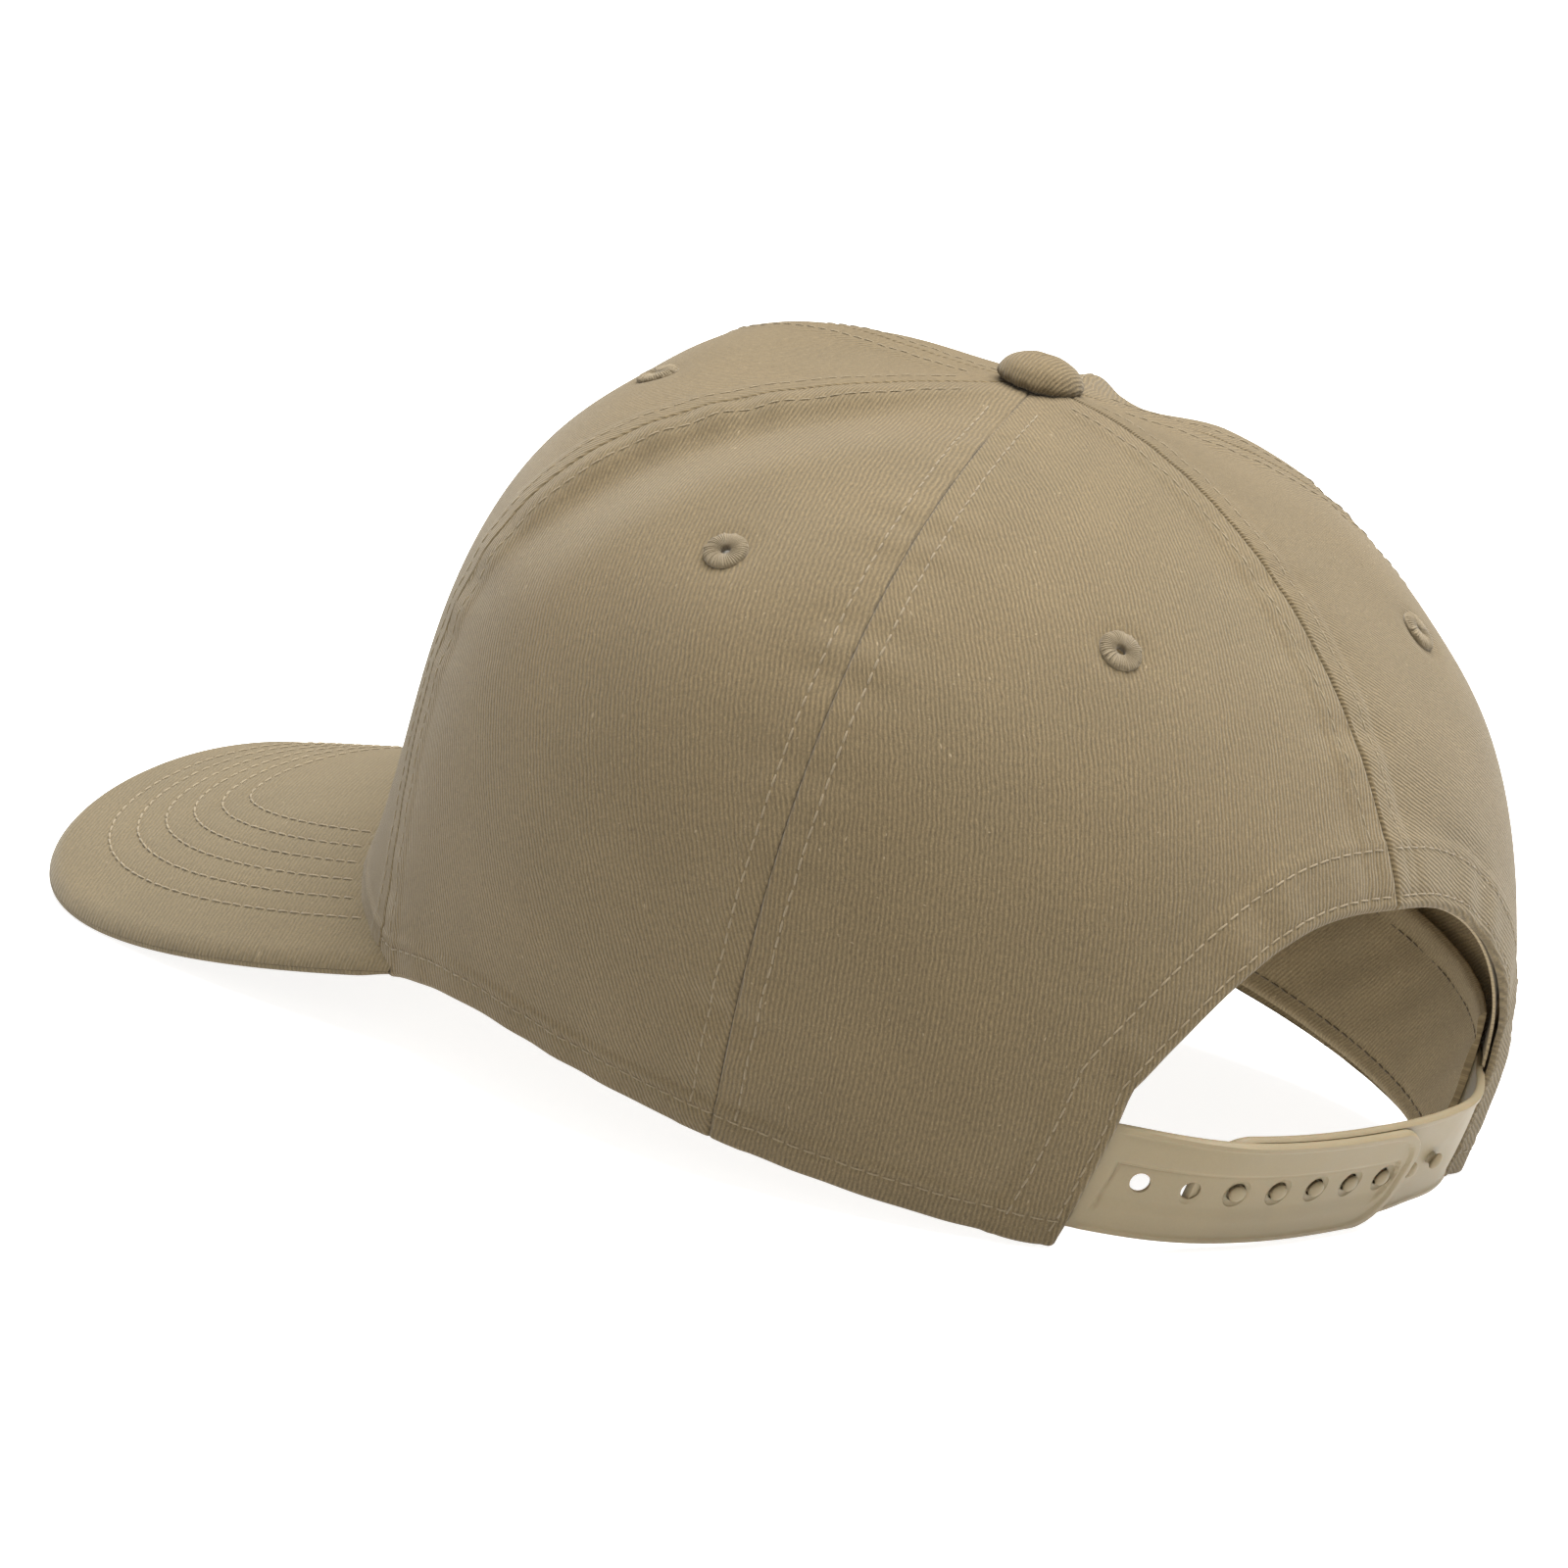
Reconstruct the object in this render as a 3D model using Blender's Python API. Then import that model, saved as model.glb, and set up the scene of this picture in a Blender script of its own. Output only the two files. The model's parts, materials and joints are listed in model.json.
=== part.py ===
"""Six-panel snapback cap: stiffened front, curved visor, covered button, eyelets and a two-part snap strap.

The cap is drawn in its wearing frame, in millimetres: the hem lies in the plane z = 0, the visor points to
-Y and the wearer's left is +X. Angles run round the head in degrees, 0 at the front and 90 at the wearer's
left. An empty holds every piece and pitches the cap so that it stands on its visor and the rear corners of
its hem.
"""

import math

import bmesh
import bpy
import numpy as np
from mathutils import Matrix, Vector

MM = 0.001
GAP = 0.3  # between neighbouring pieces

# Crown: the hem's oval, the height of the button, and the profile handles (lean, rise, reach, crest).
RIM_POWER = 2.15
RIM_SIDE, RIM_FRONT, RIM_BACK = 86.4, 93.6, 99.4
CROWN_HEIGHT, CREST_Y = 110.5, -6.3
PROFILE_FRONT = (-12.3, 115.2, 0.853, -12.1)
PROFILE_SIDE = (13.9, 43.9, 1.26, -10.7)
PROFILE_BACK = (14.2, 52.7, 0.62, 5.0)
SEAM_FRONT, SEAM_BACK = 61.2, 108.0  # angles of the front-side and side-back seams
PUFF_FRONT, PUFF_LEFT, PUFF_RIGHT, PUFF_BACK = -2.5, 0.8, 3.5, -1.5  # swell of each panel between its seams
# Soft bulges and dents of the cloth as it stands: angle, t, reach in degrees, reach in t, rise.
DENTS = [
    (-97.0, 0.81, 17.0, 0.12, 2.3),
    (-121.0, 0.62, 11.0, 0.10, -1.0),
    (-20.0, 0.78, 24.0, 0.10, 1.4),
    (21.0, 0.52, 14.0, 0.11, -0.9),
    (-72.0, 0.885, 8.0, 0.05, 2.6),
]
CLOTH = 0.95
BUCKRAM_DEPTH, BUCKRAM = 1.25, 0.7
TAPE_WIDTH, TAPE = 13.0, 0.5
BAND_DEPTH, BAND, BAND_TOP = 2.9, 1.2, 30.0
SHANK_HOLE = 3.0  # radius left open under the button

# Rear arch: the hem's corner, the top of its straight leg, and the crest.
ARCH_FOOT, ARCH_LEG, ARCH_LEG_T, ARCH_TOP_T, ARCH_ROUND = 144.05, 147.2, 0.185, 0.362, 2.75
FACING_WIDTH, FACING_DEPTH = 10.0, 1.55

# Visor: corner, outline handles, tip, and the bend of its surface.
CORNER_X, CORNER_Y, CORNER_Z = 79.8, -42.3, -3.75
OUTLINE_OUT, OUTLINE_FORWARD, TIP_HALF, TIP_Y = 4.5, 107.2, 54.4, -158.3
VISOR_DROOP, VISOR_ARCH = 0.3707, 0.0047
VISOR_HALF, VISOR_COVER = 1.9, 0.8
VISOR_SHIFT = -1.0  # the middle of its thickness, from the bent surface
LIP = 1.8  # width of the covers' turned edge
CORNER_ANGLE = 64.8
HEM_BLEND = 16.0

# Eyelets: angle and height parameter in the front, side and back panels.
EYELETS = {"front": (34.0, 0.64), "side": (90.4, 0.656), "back": (140.5, 0.642)}
EYELET_RADIUS, EYELET_BARREL, EYELET_BORE = 3.9, 2.1, 1.3

# Button.
BUTTON_RADIUS, BUTTON_DOME = 7.4, 4.6

# Snap strap.
STRAP_LEAN = math.atan(0.27)
STRAP_LOW, STRAP_WIDTH, STRAP_THICK, STRAP_BEAD = 3.2, 20.0, 1.2, 0.25
STRAP_SINK, STRAP_FLAT = 1.3, 3.0  # below the cloth at the legs, and further below it at the middle
PEG_LAYER = 1.75  # the peg half runs this far inside the hole half
PITCH, HOLES, HOLE_LINE, HOLE_SIX = 8.69, 7, 13.1, 0.8
HOLE_RADIUS, COUNTERBORE_RADIUS, COUNTERBORE_DEPTH = 2.3, 2.75, 0.5
FIRST_PEG, PEGS = 3, 7
HOLE_END, PEG_END, END_RADIUS = -13.7, -35.6, 8.0
HINGE_OUT, HINGE_SLOPE = 1.3, 0.206
TAB_LENGTH, TAB_PROUD, TAB_DEPTH, TAB_THICK = 13.0, 0.4, 1.6, 1.0


def smooth(x):
    x = np.clip(x, 0, 1)
    return x * x * (3 - 2 * x)


def join(*parts):
    return np.stack(np.broadcast_arrays(*parts), axis=-1)


# ---------------------------------------------------------------- surfaces


def visor_surface(x, y):
    return CORNER_Z - VISOR_DROOP * (CORNER_Y - y) + VISOR_ARCH * (CORNER_X**2 - x**2)


def rim(theta):
    """Plan point of the hem at an angle."""
    a = np.radians(theta)
    s, c = np.sin(a), np.cos(a)
    depth = np.where(c > 0, RIM_FRONT, RIM_BACK)
    e = 2 / RIM_POWER
    return RIM_SIDE * np.sign(s) * np.abs(s) ** e, -depth * np.sign(c) * np.abs(c) ** e


def hem_height(theta):
    """The hem follows the visor at the front and rises to the hem plane behind the visor's corners."""
    turn = np.abs((np.asarray(theta, float) + 180) % 360 - 180)
    x, y = rim(np.minimum(turn, CORNER_ANGLE))
    fade = np.clip(1 - (turn - CORNER_ANGLE) / HEM_BLEND, 0, 1) ** 2
    return (visor_surface(x, y) - 1.5) * np.where(turn > CORNER_ANGLE, fade, 1)


def swell(theta, t):
    """How far the cloth stands out between its seams."""
    turn = (np.asarray(theta, float) + 180) % 360 - 180
    a = np.abs(turn)
    side = np.where(turn > 0, PUFF_LEFT, PUFF_RIGHT)
    front, middle = a < SEAM_FRONT, a < SEAM_BACK
    share = np.where(
        front,
        a / SEAM_FRONT,
        np.where(middle, (a - SEAM_FRONT) / (SEAM_BACK - SEAM_FRONT), (a - SEAM_BACK) / (180 - SEAM_BACK)),
    )
    amount = np.where(front, PUFF_FRONT, np.where(middle, side, PUFF_BACK))
    out = amount * np.sin(np.pi * share) * np.sin(np.pi * np.clip(t, 0, 1) ** 0.8)
    for angle, level, wide, tall, rise in DENTS:
        out = out + rise * np.exp(-(((turn - angle) / wide) ** 2) - ((t - level) / tall) ** 2)
    return out


def wall(theta, t):
    """Outer face of the crown, t from 0 at the hem to 1 at the button."""
    theta, t = np.broadcast_arrays(np.asarray(theta, float), np.asarray(t, float))
    a = np.radians(theta)
    s2, c = np.sin(a) ** 2, np.cos(a)
    front, back = np.where(c > 0, c * c, 0), np.where(c < 0, c * c, 0)
    lean, rise, reach, crest = (
        front * f + s2 * s + back * b for f, s, b in zip(PROFILE_FRONT, PROFILE_SIDE, PROFILE_BACK)
    )
    x, y = rim(theta)
    length = np.hypot(x, y)
    foot = join(x, y, 0)
    top = np.array([0, CREST_Y, CROWN_HEIGHT])
    low = foot + join(x / length * lean, y / length * lean, rise)
    high = top + join(x * reach, (y - CREST_Y) * reach, crest)
    u = t[..., None]
    point = (1 - u) ** 3 * foot + 3 * (1 - u) ** 2 * u * low + 3 * (1 - u) * u * u * high + u**3 * top
    point[..., 2] += hem_height(theta) * (1 - t) ** 4
    away = point - np.array([0, 0, 30.0])
    away /= np.linalg.norm(away, axis=-1, keepdims=True)
    return point + away * swell(theta, t)[..., None]


def slopes(theta, t):
    """Tangents of the crown along the angle and up the wall, and its outward normal."""
    t = np.minimum(t, 0.965)
    d_theta = (wall(theta + 0.2, t) - wall(theta - 0.2, t)) / 0.4
    back = np.minimum(t, 0.004)
    d_t = (wall(theta, t + 0.004) - wall(theta, t - back)) / (0.004 + back)[..., None]
    normal = np.cross(d_theta, d_t)
    normal /= np.linalg.norm(normal, axis=-1, keepdims=True)
    return d_theta, d_t, normal


def crown(theta, t, depth=0.0):
    """Point of the crown at a depth below its outer face."""
    theta, t = np.broadcast_arrays(np.asarray(theta, float), np.asarray(t, float))
    return wall(theta, t) - slopes(theta, t)[2] * depth


def solve_t(theta, measure, low=0.0, high=1.0):
    """The t at which measure(point) changes sign from negative to positive."""
    theta = np.asarray(theta, float)
    a, b = np.full(theta.shape, low), np.full(theta.shape, high)
    for _ in range(40):
        middle = (a + b) / 2
        below = measure(wall(theta, middle)) < 0
        a, b = np.where(below, middle, a), np.where(below, b, middle)
    return (a + b) / 2


def t_at_height(theta, z):
    return solve_t(theta, lambda p: p[..., 2] - z, 0, 0.5)


def t_at_radius(theta, radius):
    return solve_t(theta, lambda p: radius - np.hypot(p[..., 0], p[..., 1] - CREST_Y), 0.7, 1)


def arch_t(theta):
    """Lower edge of the back panels: hem, straight leg, then the arch."""
    a = np.abs((np.asarray(theta, float) + 180) % 360 - 180)
    leg = ARCH_LEG_T * (a - ARCH_FOOT) / (ARCH_LEG - ARCH_FOOT)
    share = np.clip((a - ARCH_LEG) / (180 - ARCH_LEG), 0, 1)
    over = ARCH_LEG_T + (ARCH_TOP_T - ARCH_LEG_T) * (1 - (1 - share) ** ARCH_ROUND)
    return np.where(a < ARCH_FOOT, 0, np.where(a < ARCH_LEG, leg, over))


def radius_at(theta, t):
    p = wall(theta, t)
    return np.hypot(p[..., 0], p[..., 1] - CREST_Y)


# ---------------------------------------------------------------- scene, materials and mesh helpers

for old in list(bpy.data.objects):
    bpy.data.objects.remove(old)
pieces = bpy.data.collections.new("baseball_cap")
tools = bpy.data.collections.new("cutters")
tools.hide_render = True
for group in (pieces, tools):
    bpy.context.scene.collection.children.link(group)

cap = bpy.data.objects.new("cap_frame", None)
pieces.objects.link(cap)


def material(name, colour, roughness, metallic=0.0):
    made = bpy.data.materials.new(name)
    made.use_nodes = True
    shader = made.node_tree.nodes["Principled BSDF"]
    shader.inputs["Base Color"].default_value = (*colour, 1)
    shader.inputs["Roughness"].default_value = roughness
    shader.inputs["Metallic"].default_value = metallic
    made.diffuse_color = (*colour, 1)
    return made


TWILL = material("cotton_twill", (0.270, 0.208, 0.122), 0.92)
VISOR_TWILL = material("visor_twill", (0.300, 0.235, 0.142), 0.9)
THREAD = material("thread", (0.330, 0.262, 0.165), 0.8)
STIFFENER = material("buckram", (0.72, 0.70, 0.66), 0.9)
TAPE_CLOTH = material("seam_tape", (0.240, 0.185, 0.108), 0.88)
BAND_CLOTH = material("sweatband", (0.285, 0.222, 0.135), 0.9)
BOARD = material("visor_board", (0.80, 0.80, 0.78), 0.5)
METAL = material("button_metal", (0.62, 0.60, 0.57), 0.35, 1.0)
PLASTIC = material("strap_plastic", (0.410, 0.330, 0.215), 0.42)
LABEL = material("label", (0.78, 0.76, 0.70), 0.8)


def place(name, bm, colour, origin=None, hidden=False):
    """Makes an object from a mesh in wearing-frame millimetres, with its origin at the given point."""
    bmesh.ops.recalc_face_normals(bm, faces=bm.faces)
    if bm.calc_volume(signed=True) < 0:
        bmesh.ops.reverse_faces(bm, faces=bm.faces)
    origin = Vector(origin if origin is not None else (0, 0, 0))
    bmesh.ops.translate(bm, vec=-origin, verts=bm.verts)
    bmesh.ops.scale(bm, vec=(MM, MM, MM), verts=bm.verts)
    mesh = bpy.data.meshes.new(name)
    bm.to_mesh(mesh)
    bm.free()
    mesh.shade_smooth()
    mesh.set_sharp_from_angle(angle=math.radians(42))
    obj = bpy.data.objects.new(name, mesh)
    (tools if hidden else pieces).objects.link(obj)
    obj.parent = cap
    obj.location = origin * MM
    if hidden:
        obj.hide_render = True
        obj.display_type = "WIRE"
    else:
        mesh.materials.append(colour)
    return obj


def boolean(obj, other, operation="DIFFERENCE"):
    modifier = obj.modifiers.new(f"{operation.lower()}_{other.name}", "BOOLEAN")
    modifier.operation, modifier.solver, modifier.object = operation, "EXACT", other


def sheet(name, outer, inner, colour, origin=None):
    """Closed solid between two grids of points of the same size."""
    rows, columns = outer.shape[:2]
    bm = bmesh.new()
    top, bottom = ([[bm.verts.new(p) for p in row] for row in grid] for grid in (outer, inner))
    for i in range(rows - 1):
        for j in range(columns - 1):
            bm.faces.new((top[i][j], top[i][j + 1], top[i + 1][j + 1], top[i + 1][j]))
            bm.faces.new((bottom[i][j], bottom[i + 1][j], bottom[i + 1][j + 1], bottom[i][j + 1]))
    loop = [(0, j) for j in range(columns)] + [(i, columns - 1) for i in range(1, rows)]
    loop += [(rows - 1, j) for j in range(columns - 2, -1, -1)] + [(i, 0) for i in range(rows - 2, 0, -1)]
    for (a, b), (c, d) in zip(loop, loop[1:] + loop[:1]):
        bm.faces.new((top[a][b], bottom[a][b], bottom[c][d], top[c][d]))
    return place(name, bm, colour, origin)


def turn(bm, profile, matrix, steps):
    """Adds the solid turned from (radius, height) pairs; a profile off the axis is closed on itself."""
    points = [bm.verts.new((r, 0, z)) for r, z in profile]
    edges = [bm.edges.new(pair) for pair in zip(points, points[1:])]
    if profile[0][0] > 0:
        edges.append(bm.edges.new((points[-1], points[0])))
    before = set(bm.verts) - set(points)
    round_z = {"cent": (0, 0, 0), "axis": (0, 0, 1), "angle": 2 * math.pi}
    bmesh.ops.spin(bm, geom=points + edges, steps=steps, use_merge=True, **round_z)
    made = [v for v in bm.verts if v not in before]
    bmesh.ops.remove_doubles(bm, verts=made, dist=1e-5)
    made = [v for v in bm.verts if v not in before]
    bmesh.ops.transform(bm, matrix=matrix, verts=made)


def standing(point, normal):
    """Matrix whose local z is the normal, at a point."""
    return Matrix.Translation(Vector(point)) @ Vector(normal).to_track_quat("Z", "Y").to_matrix().to_4x4()


def turned(name, profile, colour, matrix, steps, hidden=False):
    bm = bmesh.new()
    turn(bm, profile, matrix, steps)
    return place(name, bm, colour, matrix.translation, hidden)


# ---------------------------------------------------------------- crown


def panel_grid(angles, rows, low, top_radius, depth, edge=GAP / 2):
    """Grid of crown points between two seams, drawn in by a constant edge width along both seams."""
    angles = np.asarray(angles, float)
    share = (angles - angles[0]) / (angles[-1] - angles[0])
    bottom, top = low(angles), t_at_radius(angles, top_radius)
    grid = []
    for g in np.linspace(0, 1, rows):
        t = bottom + (top - bottom) * g**0.9
        way = np.sign(angles[-1] - angles[0])
        margin = [way * np.degrees(edge / radius_at(angles[k], t[k])) for k in (0, -1)]
        theta = angles + margin[0] * (1 - share) - margin[1] * share
        grid.append(crown(theta, t, depth))
    return np.array(grid)


def level(grid, reference):
    """Gives the hem row of an inner grid the height of the outer one, so that the hem's edge is flat."""
    grid[0, :, 2] = reference[0, :, 2]
    return grid


ARCH_ANGLES = np.concatenate(
    [
        np.linspace(SEAM_BACK, ARCH_FOOT, 9),
        np.linspace(ARCH_FOOT, ARCH_LEG, 5)[1:],
        ARCH_LEG + (180 - ARCH_LEG) * np.linspace(0, 1, 10)[1:] ** 1.25,
    ]
)
PANELS = {
    "front": (np.linspace(0, SEAM_FRONT, 13), 15),
    "side": (np.linspace(SEAM_FRONT, SEAM_BACK, 10), 15),
    "back": (ARCH_ANGLES, 15),
}
shells = {}
for side, sign in (("left", 1), ("right", -1)):
    for part, (angles, rows) in PANELS.items():
        low = arch_t if part == "back" else (lambda a: np.zeros_like(a))
        outer = panel_grid(angles * sign, rows, low, SHANK_HOLE, 0)
        inner = panel_grid(angles * sign, rows, low, SHANK_HOLE, CLOTH)
        if part != "back":
            inner = level(inner, outer)
        shells[part, side] = sheet(f"panel_{part}_{side}", outer, inner, TWILL)
    angles = np.linspace(0, SEAM_FRONT, 10) * sign
    stiff = [
        panel_grid(angles, 12, lambda a: t_at_height(a, hem_height(a) + 1.2), 12.0, depth, 1.2)
        for depth in (BUCKRAM_DEPTH, BUCKRAM_DEPTH + BUCKRAM)
    ]
    shells["buckram", side] = sheet(f"buckram_{side}", *stiff, STIFFENER)

# Sweatband, open between the arch's legs.
band_angles = np.linspace(-142.6, 142.6, 61)
band_low = hem_height(band_angles) + 1.0
band_t = [t_at_height(band_angles, band_low + (BAND_TOP - band_low) * g) for g in (0, 0.3, 0.65, 1)]
band = [np.array([crown(band_angles, t, depth) for t in band_t]) for depth in (BAND_DEPTH, BAND_DEPTH + BAND)]
sheet("sweatband", *band, BAND_CLOTH)

# Tapes over the seams, narrowing where they meet under the button.


def tape(name, angle, start_t, depth):
    t = np.linspace(start_t, t_at_radius(np.array([angle]), 4.6)[0], 13)
    radius = radius_at(np.full(13, angle), t)
    half = np.minimum(TAPE_WIDTH / 2 / radius, math.radians(22.5) - 0.35 / radius)
    theta = angle + np.degrees(half)[:, None] * np.linspace(-1, 1, 5)
    grids = [crown(theta, t[:, None], d) for d in (depth, depth + TAPE)]
    return sheet(name, *grids, TAPE_CLOTH)


def band_clear(angle):
    return t_at_height(np.array([angle]), BAND_TOP + 2.2)[0]


OVER_BUCKRAM, OVER_CLOTH = BUCKRAM_DEPTH + BUCKRAM + 0.6, CLOTH + 0.7
tape("tape_front_centre", 0.0, band_clear(0.0), OVER_BUCKRAM)
for side, sign in (("left", 1), ("right", -1)):
    tape(f"tape_front_side_{side}", sign * SEAM_FRONT, band_clear(sign * SEAM_FRONT), OVER_BUCKRAM)
    tape(f"tape_side_back_{side}", sign * SEAM_BACK, band_clear(sign * SEAM_BACK), OVER_CLOTH)

# Facing inside the arch's edge, and the back tape above it.


def step_inside(theta, t, distance):
    """Angle and t reached by walking up the wall from the arch's edge, square to that edge."""
    d_theta, d_t, _ = slopes(theta, t)
    edge = wall(theta + 0.3, arch_t(theta + 0.3)) - wall(theta - 0.3, arch_t(theta - 0.3))
    normal = np.cross(d_theta, d_t)
    inward = np.cross(normal, edge)
    inward /= np.linalg.norm(inward, axis=-1, keepdims=True)
    inward *= np.sign(inward[..., 2:3])
    a, b, c = (d_theta**2).sum(-1), (d_theta * d_t).sum(-1), (d_t**2).sum(-1)
    p, q = (d_theta * inward).sum(-1), (d_t * inward).sum(-1)
    det = a * c - b * b
    return theta + (c * p - b * q) / det * distance, t + (a * q - b * p) / det * distance


arch_run = 180 + (180 - ARCH_LEG - 0.5) * np.linspace(-1, 1, 41)
facing = []
for depth in (FACING_DEPTH, FACING_DEPTH + TAPE):
    rows = [step_inside(arch_run, arch_t(arch_run), distance) for distance in (0.4, 3.6, 6.8, FACING_WIDTH)]
    facing.append(np.array([crown(theta, t, depth) for theta, t in rows]))
sheet("arch_facing", *facing, TAPE_CLOTH)
back_start = step_inside(np.array([180.0]), np.array([ARCH_TOP_T]), FACING_WIDTH + 0.8)[1][0]
tape("tape_back_centre", 180.0, back_start, OVER_CLOTH)

# Plain label inside the sweatband.
label_theta = np.linspace(118, 134, 7)
label_t = [t_at_height(label_theta, z) for z in (6.0, 15.0, 24.0)]
label_depth = BAND_DEPTH + BAND + GAP
label = [np.array([crown(label_theta, t, d) for t in label_t]) for d in (label_depth, label_depth + 0.4)]
sheet("size_label", *label, LABEL)

# Eyelets, each in a round hole through its panel.
for side, sign in (("left", 1), ("right", -1)):
    for part, (angle, t) in EYELETS.items():
        theta, height = np.array([sign * angle]), np.array([t])
        point, normal = wall(theta, height)[0], slopes(theta, height)[2][0]
        matrix = standing(point, normal)
        back = -(BUCKRAM_DEPTH + BUCKRAM if part == "front" else CLOTH) - 0.6
        profile = [(EYELET_BORE, back - 0.5), (3.3, back - 0.5), (3.3, back), (EYELET_BARREL, back)]
        profile += [(EYELET_BARREL, 0.5), (EYELET_RADIUS, 0.54), (EYELET_RADIUS, 0.72), (3.3, 1.15)]
        profile += [(2.4, 1.25), (1.5, 0.85), (EYELET_BORE, 0.4)]
        turned(f"eyelet_{part}_{side}", profile, THREAD, matrix, 20)
        hole = [(0, -9), (EYELET_BARREL + GAP, -9), (EYELET_BARREL + GAP, 4), (0, 4)]
        cutter = turned(f"eyelet_cut_{part}_{side}", hole, None, matrix, 20, hidden=True)
        boolean(shells[part, side], cutter)
        if part == "front":
            boolean(shells["buckram", side], cutter)

# Button: cloth cover over a metal core whose shank passes through the crown to a washer.
crest = Matrix.Translation((0, CREST_Y, CROWN_HEIGHT))
cover = [(0, BUTTON_DOME + 0.9), (3.2, BUTTON_DOME + 0.5), (5.6, BUTTON_DOME - 0.8), (7.0, 2.7)]
cover += [(BUTTON_RADIUS, 1.6), (7.1, 0.9), (6.4, 0.6), (6.0, 0.9)]
cover += [(6.2, 1.7), (5.4, 2.7), (3.2, 3.9), (0, 4.3)]
turned("button_cover", cover, TWILL, crest, 28)
core = [(0, 3.9), (3.0, 3.5), (5.0, 2.4), (5.7, 1.6), (5.6, 0.7), (1.8, 0.7), (1.8, -6.0), (0, -6.0)]
turned("button_core", core, METAL, crest, 20)
washer = [(2.1, -5.0), (6.4, -4.6), (6.6, -5.2), (5.6, -6.0), (2.1, -6.2)]
turned("button_washer", washer, METAL, crest, 20)

# ---------------------------------------------------------------- visor


def outline(share):
    """Plan point of the visor's edge and the direction into the visor, share from -1 (right) to 1 (left)."""
    u = 1 - np.abs(share)
    start, end = np.array([CORNER_X, CORNER_Y]), np.array([0, TIP_Y])
    a = start + [OUTLINE_OUT, -OUTLINE_FORWARD]
    b = np.array([TIP_HALF, TIP_Y])
    v = u[:, None]
    p = (1 - v) ** 3 * start + 3 * (1 - v) ** 2 * v * a + 3 * (1 - v) * v * v * b + v**3 * end
    d = 3 * (1 - v) ** 2 * (a - start) + 6 * (1 - v) * v * (b - a) + 3 * v * v * (end - b)
    d /= np.linalg.norm(d, axis=1, keepdims=True)
    into = np.column_stack([d[:, 1], -d[:, 0]])
    flip = np.where(share < 0, -1, 1)[:, None] * [1, 0] + [0, 1]
    return p * flip, into * flip


def visor_grid(share, insets, rear_gap, height):
    """Rows from the crown to the visor's edge; height(inset) lifts each row off the middle surface."""
    edge, into = outline(share)
    angle = share * CORNER_ANGLE
    x, y = rim(angle)
    length = np.hypot(x, y)
    rear = np.column_stack([x + x / length * rear_gap, y + y / length * rear_gap])
    room = np.linalg.norm(edge - rear, axis=1)
    shrink = np.minimum(1, room / (2.2 * max(insets)))
    near = edge + into * (max(insets) * shrink)[:, None]
    rows = [rear + (near - rear) * f for f in np.linspace(0, 1, 8)[:-1]]
    rows += [edge + into * (d * shrink)[:, None] for d in sorted(insets, reverse=True)]
    levels = [height(None)] * 7 + [height(d) for d in sorted(insets, reverse=True)]
    lifts = [visor_surface(r[:, 0], r[:, 1]) + VISOR_SHIFT + z for r, z in zip(rows, levels)]
    return np.array([np.column_stack(pair) for pair in zip(rows, lifts)])


def visor_cover(name, sign, insets=(0.0, 0.3, 0.9, LIP - 0.1, LIP, 3.2)):
    def outside(d):
        bulge = 1 if d is None or d >= LIP else math.sqrt(1 - (1 - d / LIP) ** 2)
        return sign * (0.35 + (VISOR_HALF - 0.35) * bulge)

    def inside(d):
        return sign * (VISOR_HALF - VISOR_COVER if d is None or d >= LIP else GAP / 2)

    share = np.sin(np.linspace(-1, 1, 49) * math.pi / 2)
    sheet(name, *(visor_grid(share, insets, 0.6, level_of) for level_of in (outside, inside)), VISOR_TWILL)


visor_cover("visor_cover_top", 1)
visor_cover("visor_cover_bottom", -1)
board_share = np.sin(np.linspace(-1, 1, 41) * math.pi / 2) * 0.96
board_half = VISOR_HALF - VISOR_COVER - GAP
board_insets = (LIP + 0.4, LIP + 2.0)
board = [visor_grid(board_share, board_insets, 1.6, lambda d, z=z: z) for z in (board_half, -board_half)]
sheet("visor_board", *board, BOARD)

# ---------------------------------------------------------------- snap strap

path_angle = np.linspace(90, 180, 721)
path_x, path_y = rim(path_angle)
tangent = np.gradient(np.column_stack([path_x, path_y]), axis=0)
tangent /= np.linalg.norm(tangent, axis=1, keepdims=True)
outward = np.column_stack([tangent[:, 1], -tangent[:, 0]])
sink = STRAP_SINK + STRAP_FLAT * smooth((path_angle - ARCH_FOOT) / (180 - ARCH_FOOT))
path = np.column_stack([path_x, path_y]) - outward * sink[:, None]
path_s = np.concatenate([[0], np.cumsum(np.linalg.norm(np.diff(path[::-1], axis=0), axis=1))])[::-1]
FOOT_S = np.interp(ARCH_FOOT, path_angle, path_s)


def strap_point(s, h, d):
    """Point of the strap: s along it from the back centre to +X, h up its width, d out of its outer face."""
    s, h, d = np.broadcast_arrays(*(np.asarray(v, float) for v in (s, h, d)))
    columns = (*path.T, *outward.T)
    px, py, nx, ny = (np.interp(np.abs(s), path_s[::-1], column[::-1]) for column in columns)
    flip = np.where(s < 0, -1, 1)
    run = d * math.cos(STRAP_LEAN) + h * math.sin(STRAP_LEAN)
    return join((px + nx * run) * flip, py + ny * run, h * math.cos(STRAP_LEAN) - d * math.sin(STRAP_LEAN))


def hinge_s(h):
    """Where the strap half bends, parallel to the edge of the arch's leg."""
    return FOOT_S - HINGE_OUT - HINGE_SLOPE * h


def strap_layer(s):
    """Depth of the peg half below the hole half, s measured towards its own root."""
    return -PEG_LAYER * (1 - smooth((s - 24) / 22))


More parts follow.
